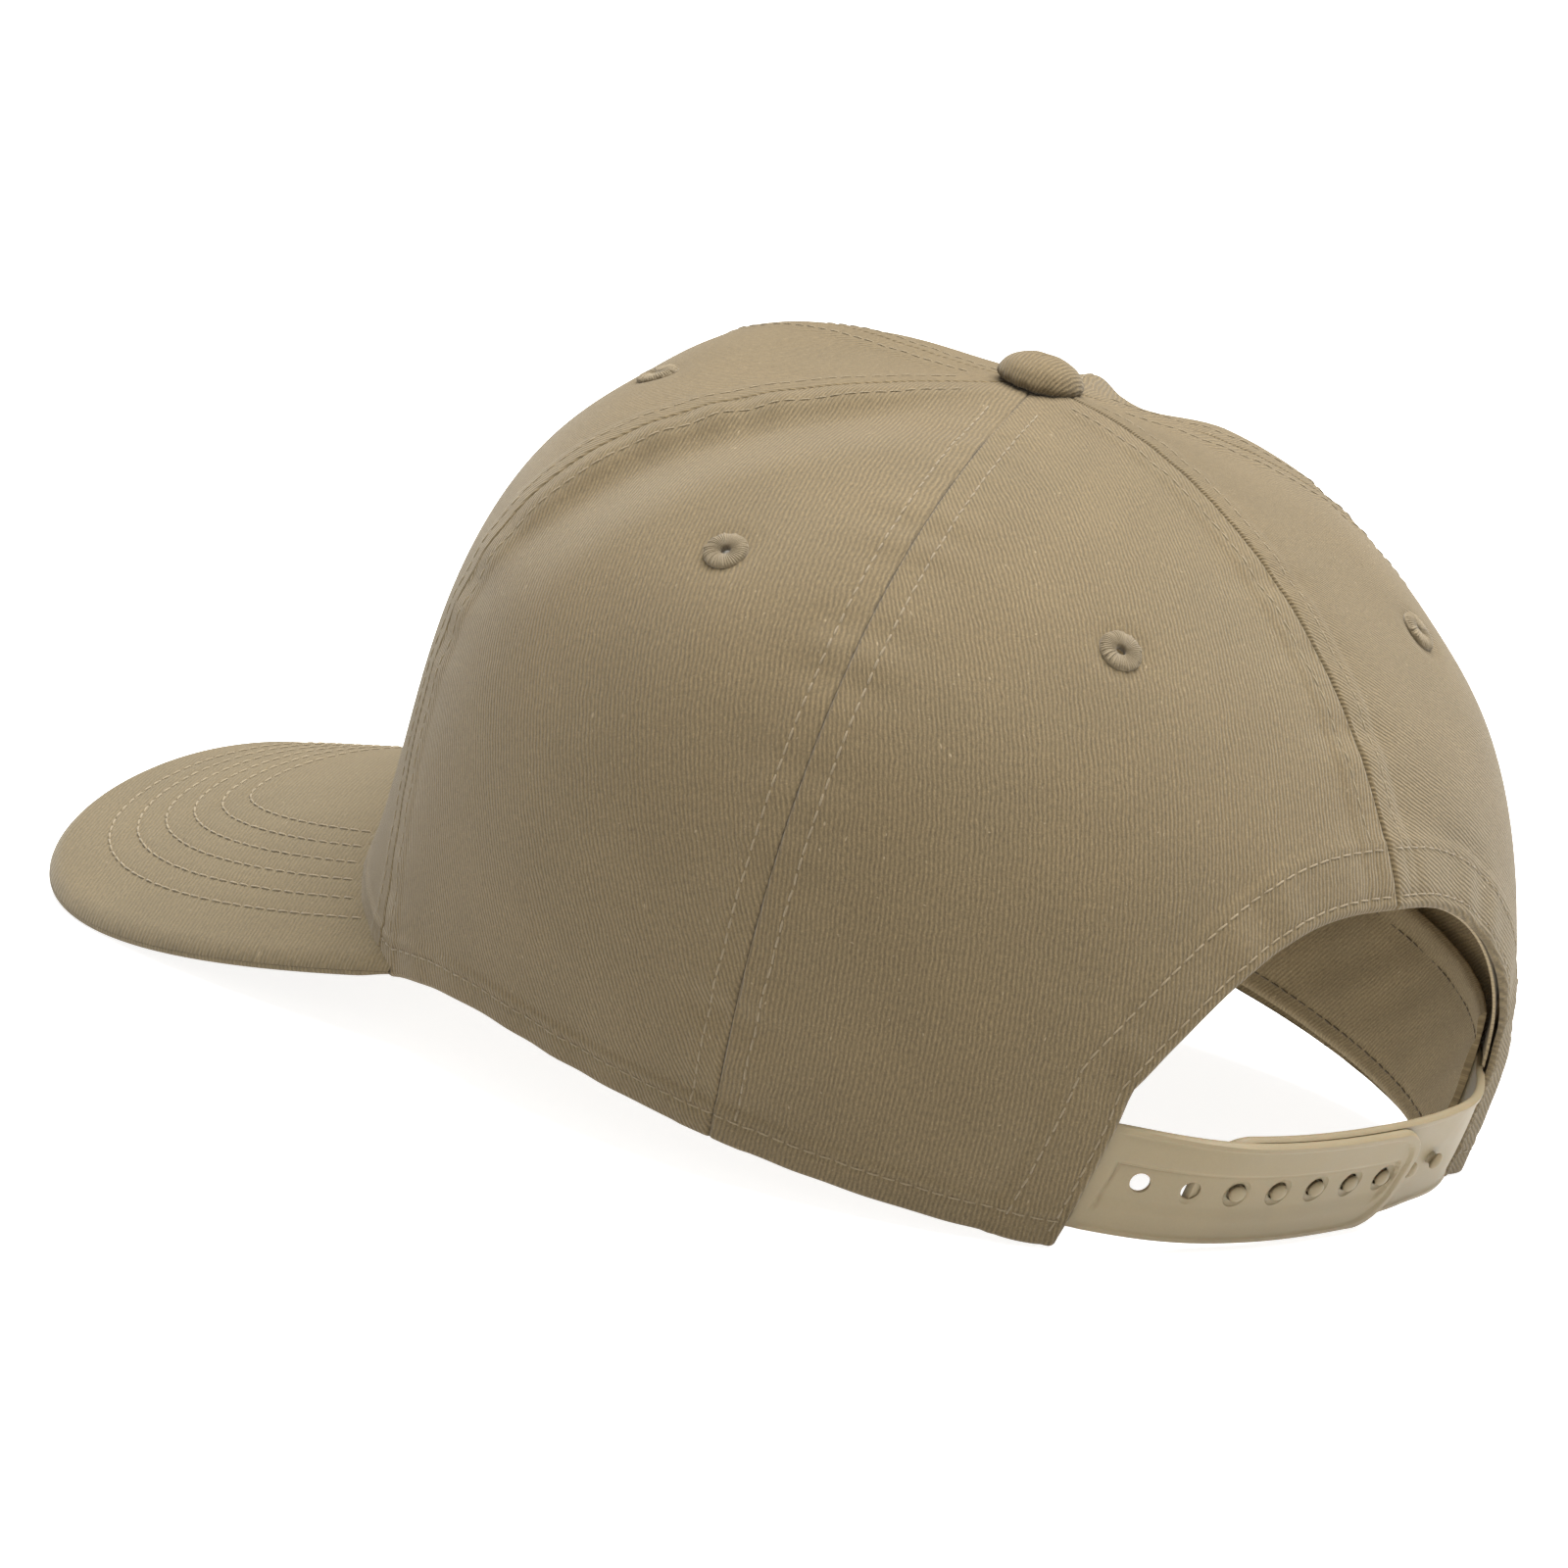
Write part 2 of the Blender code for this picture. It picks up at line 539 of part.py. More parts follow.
def strap_half(name, sign, end, layer, origin):
    """One strap half: round root on the hinge line, raised bead along its edge, rounded free end."""
    half = STRAP_WIDTH / 2
    middle = STRAP_LOW + half
    root = [(0.55, 0.24), (0.48, 0.36), (0.3, 0.52), (0.0, 0.6)]
    tips = np.array([0, 0.4, 1.1, 1.5, 2.6, 4.2, 6.2, END_RADIUS])
    root_s = hinge_s(middle)
    run = np.concatenate([np.linspace(root_s - 0.8, end + END_RADIUS + 0.5, 19), end + tips[::-1]])
    columns = [(None, o, b) for o, b in root] + [(s, 0, STRAP_THICK / 2) for s in run]
    insets = np.array([0, 0.35, 1.1, 1.5, 5.5])
    outer, inner = [], []
    for s, over, body in columns:
        back_off = 0 if s is None else max(0.0, END_RADIUS - (s - end))
        reach = half - END_RADIUS + math.sqrt(max(0.0, END_RADIUS**2 - back_off**2))
        reach = max(reach, 1.9)
        squeeze = min(1, reach / 6.0)
        h = np.concatenate([-reach + insets * squeeze, [0], (reach - insets * squeeze)[::-1]]) + middle
        hinge_line = hinge_s(h)
        share = 0 if s is None else (root_s - s) / (root_s - end)
        slant = hinge_line + over if s is None else s + (hinge_line - root_s) * np.clip(1 - share * 3, 0, 1)
        edge = np.minimum(np.minimum(h - middle + reach, middle + reach - h), 99 if s is None else s - end)
        bead = STRAP_BEAD * (1 - smooth((edge - 1.1) / 0.4)) * (0 if s is None else 1)
        depth = layer(slant)
        outer.append(strap_point(slant * sign, h, depth - STRAP_THICK / 2 + body + bead))
        inner.append(strap_point(slant * sign, h, depth - STRAP_THICK / 2 - body))
    return sheet(name, np.array(outer), np.array(inner), PLASTIC, origin)


def normal_at(s):
    return strap_point(s, HOLE_LINE, 1) - strap_point(s, HOLE_LINE, 0)


strap_edges = np.array([STRAP_LOW, STRAP_LOW + STRAP_WIDTH])
ends = {sign: strap_point(sign * hinge_s(strap_edges), strap_edges, -STRAP_THICK / 2) for sign in (1, -1)}
hinge = {sign: line.mean(axis=0) for sign, line in ends.items()}
holes = strap_half("strap_holes", 1, HOLE_END, lambda s: s * 0, hinge[1])
pegs = strap_half("strap_pegs", -1, PEG_END, strap_layer, hinge[-1])

positions = [HOLE_SIX + (6 - k) * PITCH for k in range(1, HOLES + 1)]
for name, radius, low_z, high_z in (
    ("hole_cut", HOLE_RADIUS, -3.0, 3.0),
    ("counterbore_cut", COUNTERBORE_RADIUS, -COUNTERBORE_DEPTH, 3.0),
):
    bm = bmesh.new()
    for s in positions:
        matrix = standing(strap_point(s, HOLE_LINE, 0), normal_at(s))
        turn(bm, [(0, low_z), (radius, low_z), (radius, high_z), (0, high_z)], matrix, 20)
    boolean(holes, place(name, bm, None, hinge[1], hidden=True))

bm = bmesh.new()
peg = [(0, -0.5), (1.25, -0.5), (1.25, 0.95), (1.55, 1.2), (1.5, 1.5), (1.25, 1.75), (0.75, 1.92), (0, 1.98)]
for k in range(PEGS):
    s = HOLE_SIX + (6 - FIRST_PEG - k) * PITCH
    depth = float(strap_layer(np.array(-s)))
    turn(bm, peg, standing(strap_point(s, HOLE_LINE, depth), normal_at(s)), 16)
boolean(pegs, place("peg_bodies", bm, None, hinge[-1], hidden=True), "UNION")

# Sewn tabs of both halves, held between the back panels and the sweatband.
for side, sign in (("left", 1), ("right", -1)):
    height = np.linspace(STRAP_LOW, STRAP_LOW + STRAP_WIDTH, 5) * math.cos(STRAP_LEAN)
    edge = ARCH_FOOT + (ARCH_LEG - ARCH_FOOT) * t_at_height(np.full(5, ARCH_FOOT), height) / ARCH_LEG_T
    step = np.degrees(1 / np.hypot(*rim(edge)))
    angle = sign * (edge + (TAB_PROUD - np.linspace(0, TAB_LENGTH, 7)[:, None]) * step)
    level_t = t_at_height(angle, np.broadcast_to(height, angle.shape))
    tab = [crown(angle, level_t, depth) for depth in (TAB_DEPTH, TAB_DEPTH + TAB_THICK)]
    sheet(f"strap_tab_{side}", *tab, PLASTIC)

# ---------------------------------------------------------------- standing attitude

bpy.context.view_layer.update()
graph = bpy.context.evaluated_depsgraph_get()
cloud = []
for obj in pieces.objects:
    if obj.type == "MESH":
        evaluated = obj.evaluated_get(graph)
        shape = evaluated.to_mesh()
        flat = np.empty(len(shape.vertices) * 3, np.float32)
        shape.vertices.foreach_get("co", flat)
        evaluated.to_mesh_clear()
        cloud.append(flat.reshape(-1, 3).astype(float) + np.array(obj.location))
cloud = np.concatenate(cloud)


def pitched(angle):
    c, s = math.cos(angle), math.sin(angle)
    x, y, z = cloud.T
    return np.column_stack([x, y * c - z * s, y * s + z * c])


lower, upper = math.radians(-15), 0.0
for _ in range(40):
    angle = (lower + upper) / 2
    moved = pitched(angle)
    front_low = moved[cloud[:, 1] < 0, 2].min()
    rear_low = moved[cloud[:, 1] > 0, 2].min()
    if front_low > rear_low:
        lower = angle
    else:
        upper = angle
moved = pitched(angle)
cap.rotation_euler = (angle, 0, 0)
low, high = moved.min(axis=0), moved.max(axis=0)
cap.location = (-(low[0] + high[0]) / 2, -(low[1] + high[1]) / 2, -low[2])
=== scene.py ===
"""Looks of the six-panel snapback cap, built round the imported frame.

Shapes are worked out in the cap's wearing frame, in millimetres: the hem lies in the plane z = 0, the visor
points to -Y, the wearer's left is +X, and angles run round the head in degrees from the front. The head
opening's mount says where that frame stands in the row frame.
"""

import json
import math

import bmesh
import bpy
import numpy as np
from mathutils import Matrix, Vector

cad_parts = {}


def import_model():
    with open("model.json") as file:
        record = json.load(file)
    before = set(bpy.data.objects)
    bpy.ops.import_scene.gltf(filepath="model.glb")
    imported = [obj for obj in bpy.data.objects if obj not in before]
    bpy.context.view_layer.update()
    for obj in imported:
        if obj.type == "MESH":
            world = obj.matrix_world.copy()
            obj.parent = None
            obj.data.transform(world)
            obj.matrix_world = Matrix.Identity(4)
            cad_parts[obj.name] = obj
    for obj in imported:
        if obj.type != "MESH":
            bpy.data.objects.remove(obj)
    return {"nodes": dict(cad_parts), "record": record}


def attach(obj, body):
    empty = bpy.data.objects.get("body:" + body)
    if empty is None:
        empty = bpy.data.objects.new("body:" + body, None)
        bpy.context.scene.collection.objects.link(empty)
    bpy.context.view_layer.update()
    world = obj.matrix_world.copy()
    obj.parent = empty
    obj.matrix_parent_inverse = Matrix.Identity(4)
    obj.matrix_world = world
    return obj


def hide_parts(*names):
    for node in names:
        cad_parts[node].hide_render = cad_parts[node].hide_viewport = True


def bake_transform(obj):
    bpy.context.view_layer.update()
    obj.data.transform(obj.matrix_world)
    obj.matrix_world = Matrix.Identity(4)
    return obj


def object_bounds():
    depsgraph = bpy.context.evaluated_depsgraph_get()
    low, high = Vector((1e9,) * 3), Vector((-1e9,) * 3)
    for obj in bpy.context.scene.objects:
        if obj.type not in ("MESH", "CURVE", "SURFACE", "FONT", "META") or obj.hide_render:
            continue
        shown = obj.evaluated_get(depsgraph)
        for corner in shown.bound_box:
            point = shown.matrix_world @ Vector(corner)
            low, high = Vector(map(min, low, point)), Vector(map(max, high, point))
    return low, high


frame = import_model()
cad_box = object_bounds()

MM = 0.001
opening = next(m for m in frame["record"]["mounts"] if m["name"] == "head_opening")
ORIGIN = np.array(opening["pos_m"])
UP = -np.array(opening["axis"])
AXES = np.array([(1, 0, 0), np.cross(UP, (1, 0, 0)), UP])


def world(points):
    """Row-frame metres of wearing-frame millimetres."""
    return ORIGIN + np.asarray(points) @ AXES * MM


# ---------------------------------------------------------------- driving dimensions

# Crown: the hem's oval, the button's height, the profile handles (lean, rise, reach, crest) and the swell.
RIM_POWER = 2.15
RIM_SIDE, RIM_FRONT, RIM_BACK = 86.4, 93.6, 99.4
CROWN_HEIGHT, CREST_Y = 110.5, -6.3
PROFILE_FRONT = (-12.3, 115.2, 0.853, -12.1)
PROFILE_SIDE = (13.9, 43.9, 1.26, -10.7)
PROFILE_BACK = (14.2, 52.7, 0.62, 5.0)
SEAM_FRONT, SEAM_BACK = 61.2, 108.0
PUFF_FRONT, PUFF_LEFT, PUFF_RIGHT, PUFF_BACK = -2.5, 0.8, 3.5, -1.5
# Soft bulges and dents of the cloth as it stands: angle, t, reach in degrees, reach in t, rise.
DENTS = [
    (-97.0, 0.81, 17.0, 0.12, 2.3),
    (-121.0, 0.62, 11.0, 0.10, -1.0),
    (-20.0, 0.78, 24.0, 0.10, 1.4),
    (21.0, 0.52, 14.0, 0.11, -0.9),
    (-72.0, 0.885, 8.0, 0.05, 2.6),
]
CLOTH, SEAM_GAP = 0.85, 0.03  # thickness, and how far each panel keeps from its seam's line
CREST_HOLE = 3.0  # radius left open under the button

# Rear arch.
ARCH_FOOT, ARCH_LEG, ARCH_LEG_T, ARCH_TOP_T, ARCH_ROUND = 144.05, 147.2, 0.185, 0.362, 2.75

# Visor.
CORNER_X, CORNER_Y, CORNER_Z = 79.8, -42.3, -3.75
OUTLINE_OUT, OUTLINE_FORWARD, TIP_HALF, TIP_Y = 4.5, 107.2, 54.4, -158.3
VISOR_DROOP, VISOR_ARCH = 0.3707, 0.0047
VISOR_HALF, VISOR_COVER, VISOR_SHIFT, LIP = 1.9, 0.8, -1.0, 1.8
CORNER_ANGLE, HEM_BLEND = 64.8, 21.0
VISOR_ROWS = [9.06 + 4.49 * k for k in range(6)]  # stitch rows, in from the edge

# Sewing.
STITCH, THREAD_RADIUS = 2.6, 0.17
SEAM_ROW, SEAM_ROW_END = 4.1, 9.0  # topstitch beside each seam: how far off, and its end below the top
ROW_FROM_HEM, ROW_FROM_ARCH = 6.5, 11.5  # start of those rows above the hem and the arch
HEM_ROW = 5.0
ARCH_ROWS = (2.1, 9.6)
RIB = 0.76  # pitch of the twill

# Relief of the sewn cloth. A fold has its height, its width and the length of its step down.
SEAM_FOLD, FELLED_FOLD = (0.26, 5.0, 2.4), (0.14, 3.2, 1.6)
HEM_FOLD, ARCH_FOLD = (0.34, 6.2, 1.3), (0.36, 10.6, 1.4)
SEAM_CURL, HEM_CURL, ARCH_CURL, GROOVE = 0.42, 0.8, 0.7, 0.14
PRESSED = 0.6  # share of its height that the fold of the seam between side and back keeps
SEAM_PUCKER, HEM_WAVE, ARCH_WAVE, DRAPE, SAG = 0.26, 0.13, 0.30, 0.5, 0.28
HOLLOW, LEG_FLARE, EYELET_PULL = 2.7, 3.4, 0.30

# Eyelets: angle and height parameter.
EYELETS = {"front": (34.0, 0.64), "side": (90.4, 0.656), "back": (140.5, 0.642)}
EYELET_RADIUS, EYELET_BORE = 3.7, 0.85

# Snap strap.
STRAP_LEAN = math.atan(0.27)
STRAP_LOW, STRAP_WIDTH, STRAP_THICK = 3.2, 20.0, 1.2
STRAP_SINK, STRAP_FLAT, PEG_LAYER = 1.3, 3.0, 1.75
PITCH, HOLES, HOLE_LINE, HOLE_SIX = 8.69, 7, 13.1, 0.8
HOLE_RADIUS, FIRST_PEG, PEGS = 2.3, 3, 7
HOLE_END, PEG_END, END_RADIUS = -13.7, -35.6, 8.0
HINGE_OUT, HINGE_SLOPE = 1.3, 0.206
# Field sunk round the holes: ends along the strap, edges up its width, round end, depth and groove.
FIELD_FIRST, FIELD_LAST, FIELD_LOW, FIELD_TOP = 47.0, -11.5, 7.4, 16.6
FIELD_ROUND_AT, FIELD_ROUND, FIELD_DEEP, FIELD_GROOVE = -4.5, 6.2, 0.55, 0.26
STRAP_SHARP = 42  # degrees between faces that show as an edge

SIDES = {1: "left", -1: "right"}  # of the wearer, by the sign of the angle
NEAREST_BATCH = 4000  # points whose distances from a line are held in memory at once
LEAST_AREA = 0.31  # share of its rectangle that a sheet's area keeps at least


# ---------------------------------------------------------------- surfaces


def smooth(x):
    x = np.clip(x, 0, 1)
    return x * x * (3 - 2 * x)


def bell(x, width):
    return np.exp(-((x / width) ** 2))


def unit(v):
    return v / np.linalg.norm(v, axis=-1, keepdims=True)


def visor_surface(x, y):
    """Height of the visor's bent middle surface at a plan point."""
    return CORNER_Z - VISOR_DROOP * (CORNER_Y - y) + VISOR_ARCH * (CORNER_X**2 - x**2)


def rim(theta):
    """Plan point of the hem at an angle."""
    a = np.radians(theta)
    s, c = np.sin(a), np.cos(a)
    depth = np.where(c > 0, RIM_FRONT, RIM_BACK)
    e = 2 / RIM_POWER
    return RIM_SIDE * np.sign(s) * np.abs(s) ** e, -depth * np.sign(c) * np.abs(c) ** e


def hem_height(theta):
    """The hem follows the visor at the front and rises to the hem plane behind the visor's corners."""
    turn = np.abs((np.asarray(theta, float) + 180) % 360 - 180)
    x, y = rim(np.minimum(turn, CORNER_ANGLE))
    fade = np.clip(1 - (turn - CORNER_ANGLE) / HEM_BLEND, 0, 1) ** 2
    return (visor_surface(x, y) - 2.8) * np.where(turn > CORNER_ANGLE, fade, 1)


def swell(theta, t):
    """How far the cloth stands out between its seams."""
    turn = (np.asarray(theta, float) + 180) % 360 - 180
    a = np.abs(turn)
    side = np.where(turn > 0, PUFF_LEFT, PUFF_RIGHT)
    front, middle = a < SEAM_FRONT, a < SEAM_BACK
    share = np.where(
        front,
        a / SEAM_FRONT,
        np.where(middle, (a - SEAM_FRONT) / (SEAM_BACK - SEAM_FRONT), (a - SEAM_BACK) / (180 - SEAM_BACK)),
    )
    amount = np.where(front, PUFF_FRONT, np.where(middle, side, PUFF_BACK))
    out = amount * np.sin(np.pi * share) * np.sin(np.pi * np.clip(t, 0, 1) ** 0.8)
    for angle, level, wide, tall, rise in DENTS:
        out = out + rise * np.exp(-(((turn - angle) / wide) ** 2) - ((t - level) / tall) ** 2)
    return out


def wall(theta, t):
    """Outer face of the crown, t from 0 at the hem to 1 at the button."""
    theta, t = np.broadcast_arrays(np.asarray(theta, float), np.asarray(t, float))
    a = np.radians(theta)
    s2, c = np.sin(a) ** 2, np.cos(a)
    front, back = np.where(c > 0, c * c, 0), np.where(c < 0, c * c, 0)
    lean, rise, reach, crest = (
        front * f + s2 * s + back * b for f, s, b in zip(PROFILE_FRONT, PROFILE_SIDE, PROFILE_BACK)
    )
    x, y = rim(theta)
    length = np.hypot(x, y)
    foot = np.stack([x, y, 0 * x], axis=-1)
    top = np.array([0, CREST_Y, CROWN_HEIGHT])
    low = foot + np.stack([x / length * lean, y / length * lean, rise], axis=-1)
    high = top + np.stack([x * reach, (y - CREST_Y) * reach, crest], axis=-1)
    u = t[..., None]
    point = (1 - u) ** 3 * foot + 3 * (1 - u) ** 2 * u * low + 3 * (1 - u) * u * u * high + u**3 * top
    point[..., 2] += hem_height(theta) * (1 - t) ** 4
    return point + unit(point - np.array([0, 0, 30.0])) * swell(theta, t)[..., None]


def slopes(theta, t):
    """Tangents of the crown along the angle and up the wall, and its outward normal."""
    t = np.minimum(t, 0.965)
    d_theta = (wall(theta + 0.2, t) - wall(theta - 0.2, t)) / 0.4
    back = np.minimum(t, 0.004)
    d_t = (wall(theta, t + 0.004) - wall(theta, t - back)) / (0.004 + back)[..., None]
    return d_theta, d_t, unit(np.cross(d_theta, d_t))


def crown(theta, t, depth):
    """Point of the crown at a depth below its outer face."""
    theta, t = np.broadcast_arrays(np.asarray(theta, float), np.asarray(t, float))
    return wall(theta, t) - slopes(theta, t)[2] * np.asarray(depth)[..., None]


def solve_t(theta, measure, low, high):
    """The t at which measure(point) changes sign from negative to positive."""
    theta = np.asarray(theta, float)
    a, b = np.full(theta.shape, low), np.full(theta.shape, high)
    for _ in range(32):
        middle = (a + b) / 2
        below = measure(wall(theta, middle)) < 0
        a, b = np.where(below, middle, a), np.where(below, b, middle)
    return (a + b) / 2


def t_at_height(theta, z):
    """The t at which the wall reaches a height."""
    return solve_t(theta, lambda p: p[..., 2] - z, 0, 0.5)


def t_at_radius(theta, radius):
    """The t near the top at which the wall comes within a radius of the button's axis."""
    return solve_t(theta, lambda p: radius - np.hypot(p[..., 0], p[..., 1] - CREST_Y), 0.7, 1)


def arch_t(theta):
    """Lower edge of the back panels: hem, straight leg, then the arch."""
    a = np.abs((np.asarray(theta, float) + 180) % 360 - 180)
    leg = ARCH_LEG_T * (a - ARCH_FOOT) / (ARCH_LEG - ARCH_FOOT)
    share = np.clip((a - ARCH_LEG) / (180 - ARCH_LEG), 0, 1)
    over = ARCH_LEG_T + (ARCH_TOP_T - ARCH_LEG_T) * (1 - (1 - share) ** ARCH_ROUND)
    return np.where(a < ARCH_FOOT, 0, np.where(a < ARCH_LEG, leg, over))


def step_inside(theta, t, distance):
    """Angle and t reached by walking up the wall from the arch's edge, square to that edge."""
    d_theta, d_t, _ = slopes(theta, t)
    edge = wall(theta + 0.3, arch_t(theta + 0.3)) - wall(theta - 0.3, arch_t(theta - 0.3))
    inward = unit(np.cross(np.cross(d_theta, d_t), edge))
    inward *= np.sign(inward[..., 2:3])
    a, b, c = (d_theta**2).sum(-1), (d_theta * d_t).sum(-1), (d_t**2).sum(-1)
    p, q = (d_theta * inward).sum(-1), (d_t * inward).sum(-1)
    det = a * c - b * b
    return theta + (c * p - b * q) / det * distance, t + (a * q - b * p) / det * distance


def lengths_along(points):
    """Length along a line up to each of its points."""
    return np.concatenate([[0], np.cumsum(np.linalg.norm(np.diff(points, axis=0), axis=1))])


def nearest(points, line):
    """Distance of each point from a line of close points, and the length along the line."""
    flat = points.reshape(-1, 3)
    along = lengths_along(line)
    tangent = unit(np.gradient(line, axis=0))
    distance, length = np.empty(len(flat)), np.empty(len(flat))
    for start in range(0, len(flat), NEAREST_BATCH):
        batch = slice(start, start + NEAREST_BATCH)
        part = flat[batch]
        gap = ((part[:, None] - line[None]) ** 2).sum(-1)
        k = gap.argmin(1)
        run = ((part - line[k]) * tangent[k]).sum(1)
        distance[batch] = np.sqrt(np.maximum(gap.min(1) - np.minimum(run**2, 0.3), 0))
        length[batch] = along[k] + run
    return distance.reshape(points.shape[:-1]), length.reshape(points.shape[:-1])


def wave(length, seed, longest, shortest):
    """Irregular wave along a length, between about -1 and 1."""
    local = np.random.default_rng(seed)
    total = 0
    for _ in range(4):
        size, high = local.uniform(shortest, longest), local.uniform(0.5, 1)
        total = total + high * np.sin(2 * np.pi * length / size + local.uniform(0, 2 * np.pi))
    return total / 2.2


def curl(distance, radius):
    """Fall of a folded edge, a quarter circle."""
    return -radius * (1 - np.sqrt(1 - np.clip(1 - distance / radius, 0, 1) ** 2))


def fold(distance, high, width, step):
    """Height of cloth laid double from an edge to a width, where it steps down."""
    return high * (1 - smooth((distance - width) / step))


def stitch_groove(distance, run, deep):
    """Depth of the line that a row of stitches pulls into the cloth."""
    return deep * bell(distance, 0.6) * (0.8 + 0.2 * np.cos(2 * np.pi * run / STITCH))


def grained(u, v, degrees):
    """Cloth coordinates of a surface whose weave is turned by an angle."""
    a = math.radians(degrees)
    return np.stack([u * math.cos(a) - v * math.sin(a), u * math.sin(a) + v * math.cos(a)], -1)


# ---------------------------------------------------------------- mesh helpers


def faces_of(rows, columns, closed=False):
    """Quads of a grid of points; a closed one joins its last column to its first."""
    index = np.arange(rows * columns).reshape(rows, columns)
    if closed:
        index = np.concatenate([index, index[:, :1]], axis=1)
    corners = (index[:-1, :-1], index[:-1, 1:], index[1:, 1:], index[1:, :-1])
    return np.stack(corners, -1).reshape(-1, 4)


def tube_faces(rows, steps):
    """Faces of a closed tube of points, with a flat cap at each end."""
    caps = [tuple(range(steps))[::-1], tuple(range((rows - 1) * steps, rows * steps))]
    return [tuple(f) for f in faces_of(rows, steps, closed=True).tolist()] + caps


def joined(parts):
    """Points and faces of several closed bodies, taken together."""
    points, faces, offset = [], [], 0
    for p, f in parts:
        points.append(p)
        faces += [tuple(i + offset for i in face) for face in f]
        offset += len(p)
    return np.concatenate(points), faces


def shell(outer, inner):
    """Points and faces of the closed solid between two grids of the same size."""
    rows, columns = outer.shape[:2]
    count = rows * columns
    index = np.arange(count).reshape(rows, columns)
    top = faces_of(rows, columns)
    loop = np.concatenate([index[0], index[1:, -1], index[-1, -2::-1], index[-2:0:-1, 0]])
    ahead = np.roll(loop, -1)
    side = np.stack([loop, loop + count, ahead + count, ahead], -1)
    points = np.concatenate([outer.reshape(-1, 3), inner.reshape(-1, 3)])
    return points, np.concatenate([top, top[:, ::-1] + count, side])


def piece(name, points, faces, material, slot, replaces=(), body="cap", cloth=None, merge=0.0, sharp=50):
    """Adds a piece in the row frame from wearing-frame points; cloth holds each point's cloth coordinates."""
    mesh = bpy.data.meshes.new(name)
    mesh.from_pydata(world(points).tolist(), [], [tuple(f) for f in faces])
    if cloth is not None:
        layer = mesh.uv_layers.new(name="cloth")
        corner = np.empty(len(mesh.loops), np.int32)
        mesh.loops.foreach_get("vertex_index", corner)
        layer.data.foreach_set("uv", np.asarray(cloth, np.float32).reshape(-1, 2)[corner].ravel())
    bm = bmesh.new()
    bm.from_mesh(mesh)
    if merge:
        bmesh.ops.remove_doubles(bm, verts=bm.verts, dist=merge * MM)
    if bm.calc_volume(signed=True) < 0:
        bmesh.ops.reverse_faces(bm, faces=bm.faces)
    bm.to_mesh(mesh)
    bm.free()
    mesh.shade_smooth()
    mesh.set_sharp_from_angle(angle=math.radians(sharp))
    mesh.materials.append(material)
    obj = bpy.data.objects.new(name, mesh)
    bpy.context.scene.collection.objects.link(obj)
    if body:
        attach(obj, body)
    if replaces:
        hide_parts(*replaces)
    return obj


def cloth_piece(name, outer, inner, flat, material, slot, replaces, **options):
    """Cloth between two grids of points, with the same cloth coordinates on both faces."""
    points, faces = shell(outer, inner)
    flat = flat.reshape(-1, 2)
    return piece(name, points, faces, material, slot, replaces, cloth=np.concatenate([flat, flat]), **options)


def stretched(obj, width, length):
    """Works out a sewn cloth's flat area from its faces, held between a share of the rectangle it is cut from
    in mm and that whole rectangle; nothing uses the result.
    """
    area = sum(face.area for face in obj.data.polygons) / 2
    width, length = width * MM, length * MM
    area = min(max(area, LEAST_AREA * width * length), width * length)


def cut(obj, cutter, operation="DIFFERENCE"):
    """Applies a Boolean to a piece and removes the cutter."""
    modifier = obj.modifiers.new("cut", "BOOLEAN")
    modifier.operation, modifier.solver, modifier.object = operation, "EXACT", cutter
    graph = bpy.context.evaluated_depsgraph_get()
    done = bpy.data.meshes.new_from_object(obj.evaluated_get(graph))
    obj.modifiers.clear()
    obj.data = done
    bpy.data.objects.remove(cutter)


def basis(normal):
    """Two directions square to a normal, and the normal."""
    side = unit(np.cross(normal, (0.3, 0.2, 1.0) if abs(normal[2]) < 0.9 else (1.0, 0, 0)))
    return np.array([side, np.cross(normal, side), normal])


def lathe(profile, steps, point, normal):
    """Grid of points of a profile turned round a normal at a point, closed round."""
    a = np.linspace(0, 2 * np.pi, steps, endpoint=False)
    r, z = np.array(profile, float).T
    turn = np.stack([r[:, None] * np.cos(a), r[:, None] * np.sin(a), z[:, None] + 0 * a], -1)
    return point + turn @ basis(normal)


def lathed_solid(profile, steps, point, normal):
    """Points and faces of a turned solid whose profile starts and ends near its axis."""
    return lathe(profile, steps, point, normal).reshape(-1, 3), tube_faces(len(profile), steps)


def rounded(profile, times):
    """Corner-cutting of an open profile, which keeps its ends."""
    p = np.array(profile, float)
    for _ in range(times):
        a, b = p[:-1], p[1:]
        cut_in = np.stack([a * 0.75 + b * 0.25, a * 0.25 + b * 0.75], 1).reshape(-1, p.shape[1])
        p = np.concatenate([p[:1], cut_in[1:-1], p[-1:]])
    return p


# ---------------------------------------------------------------- materials


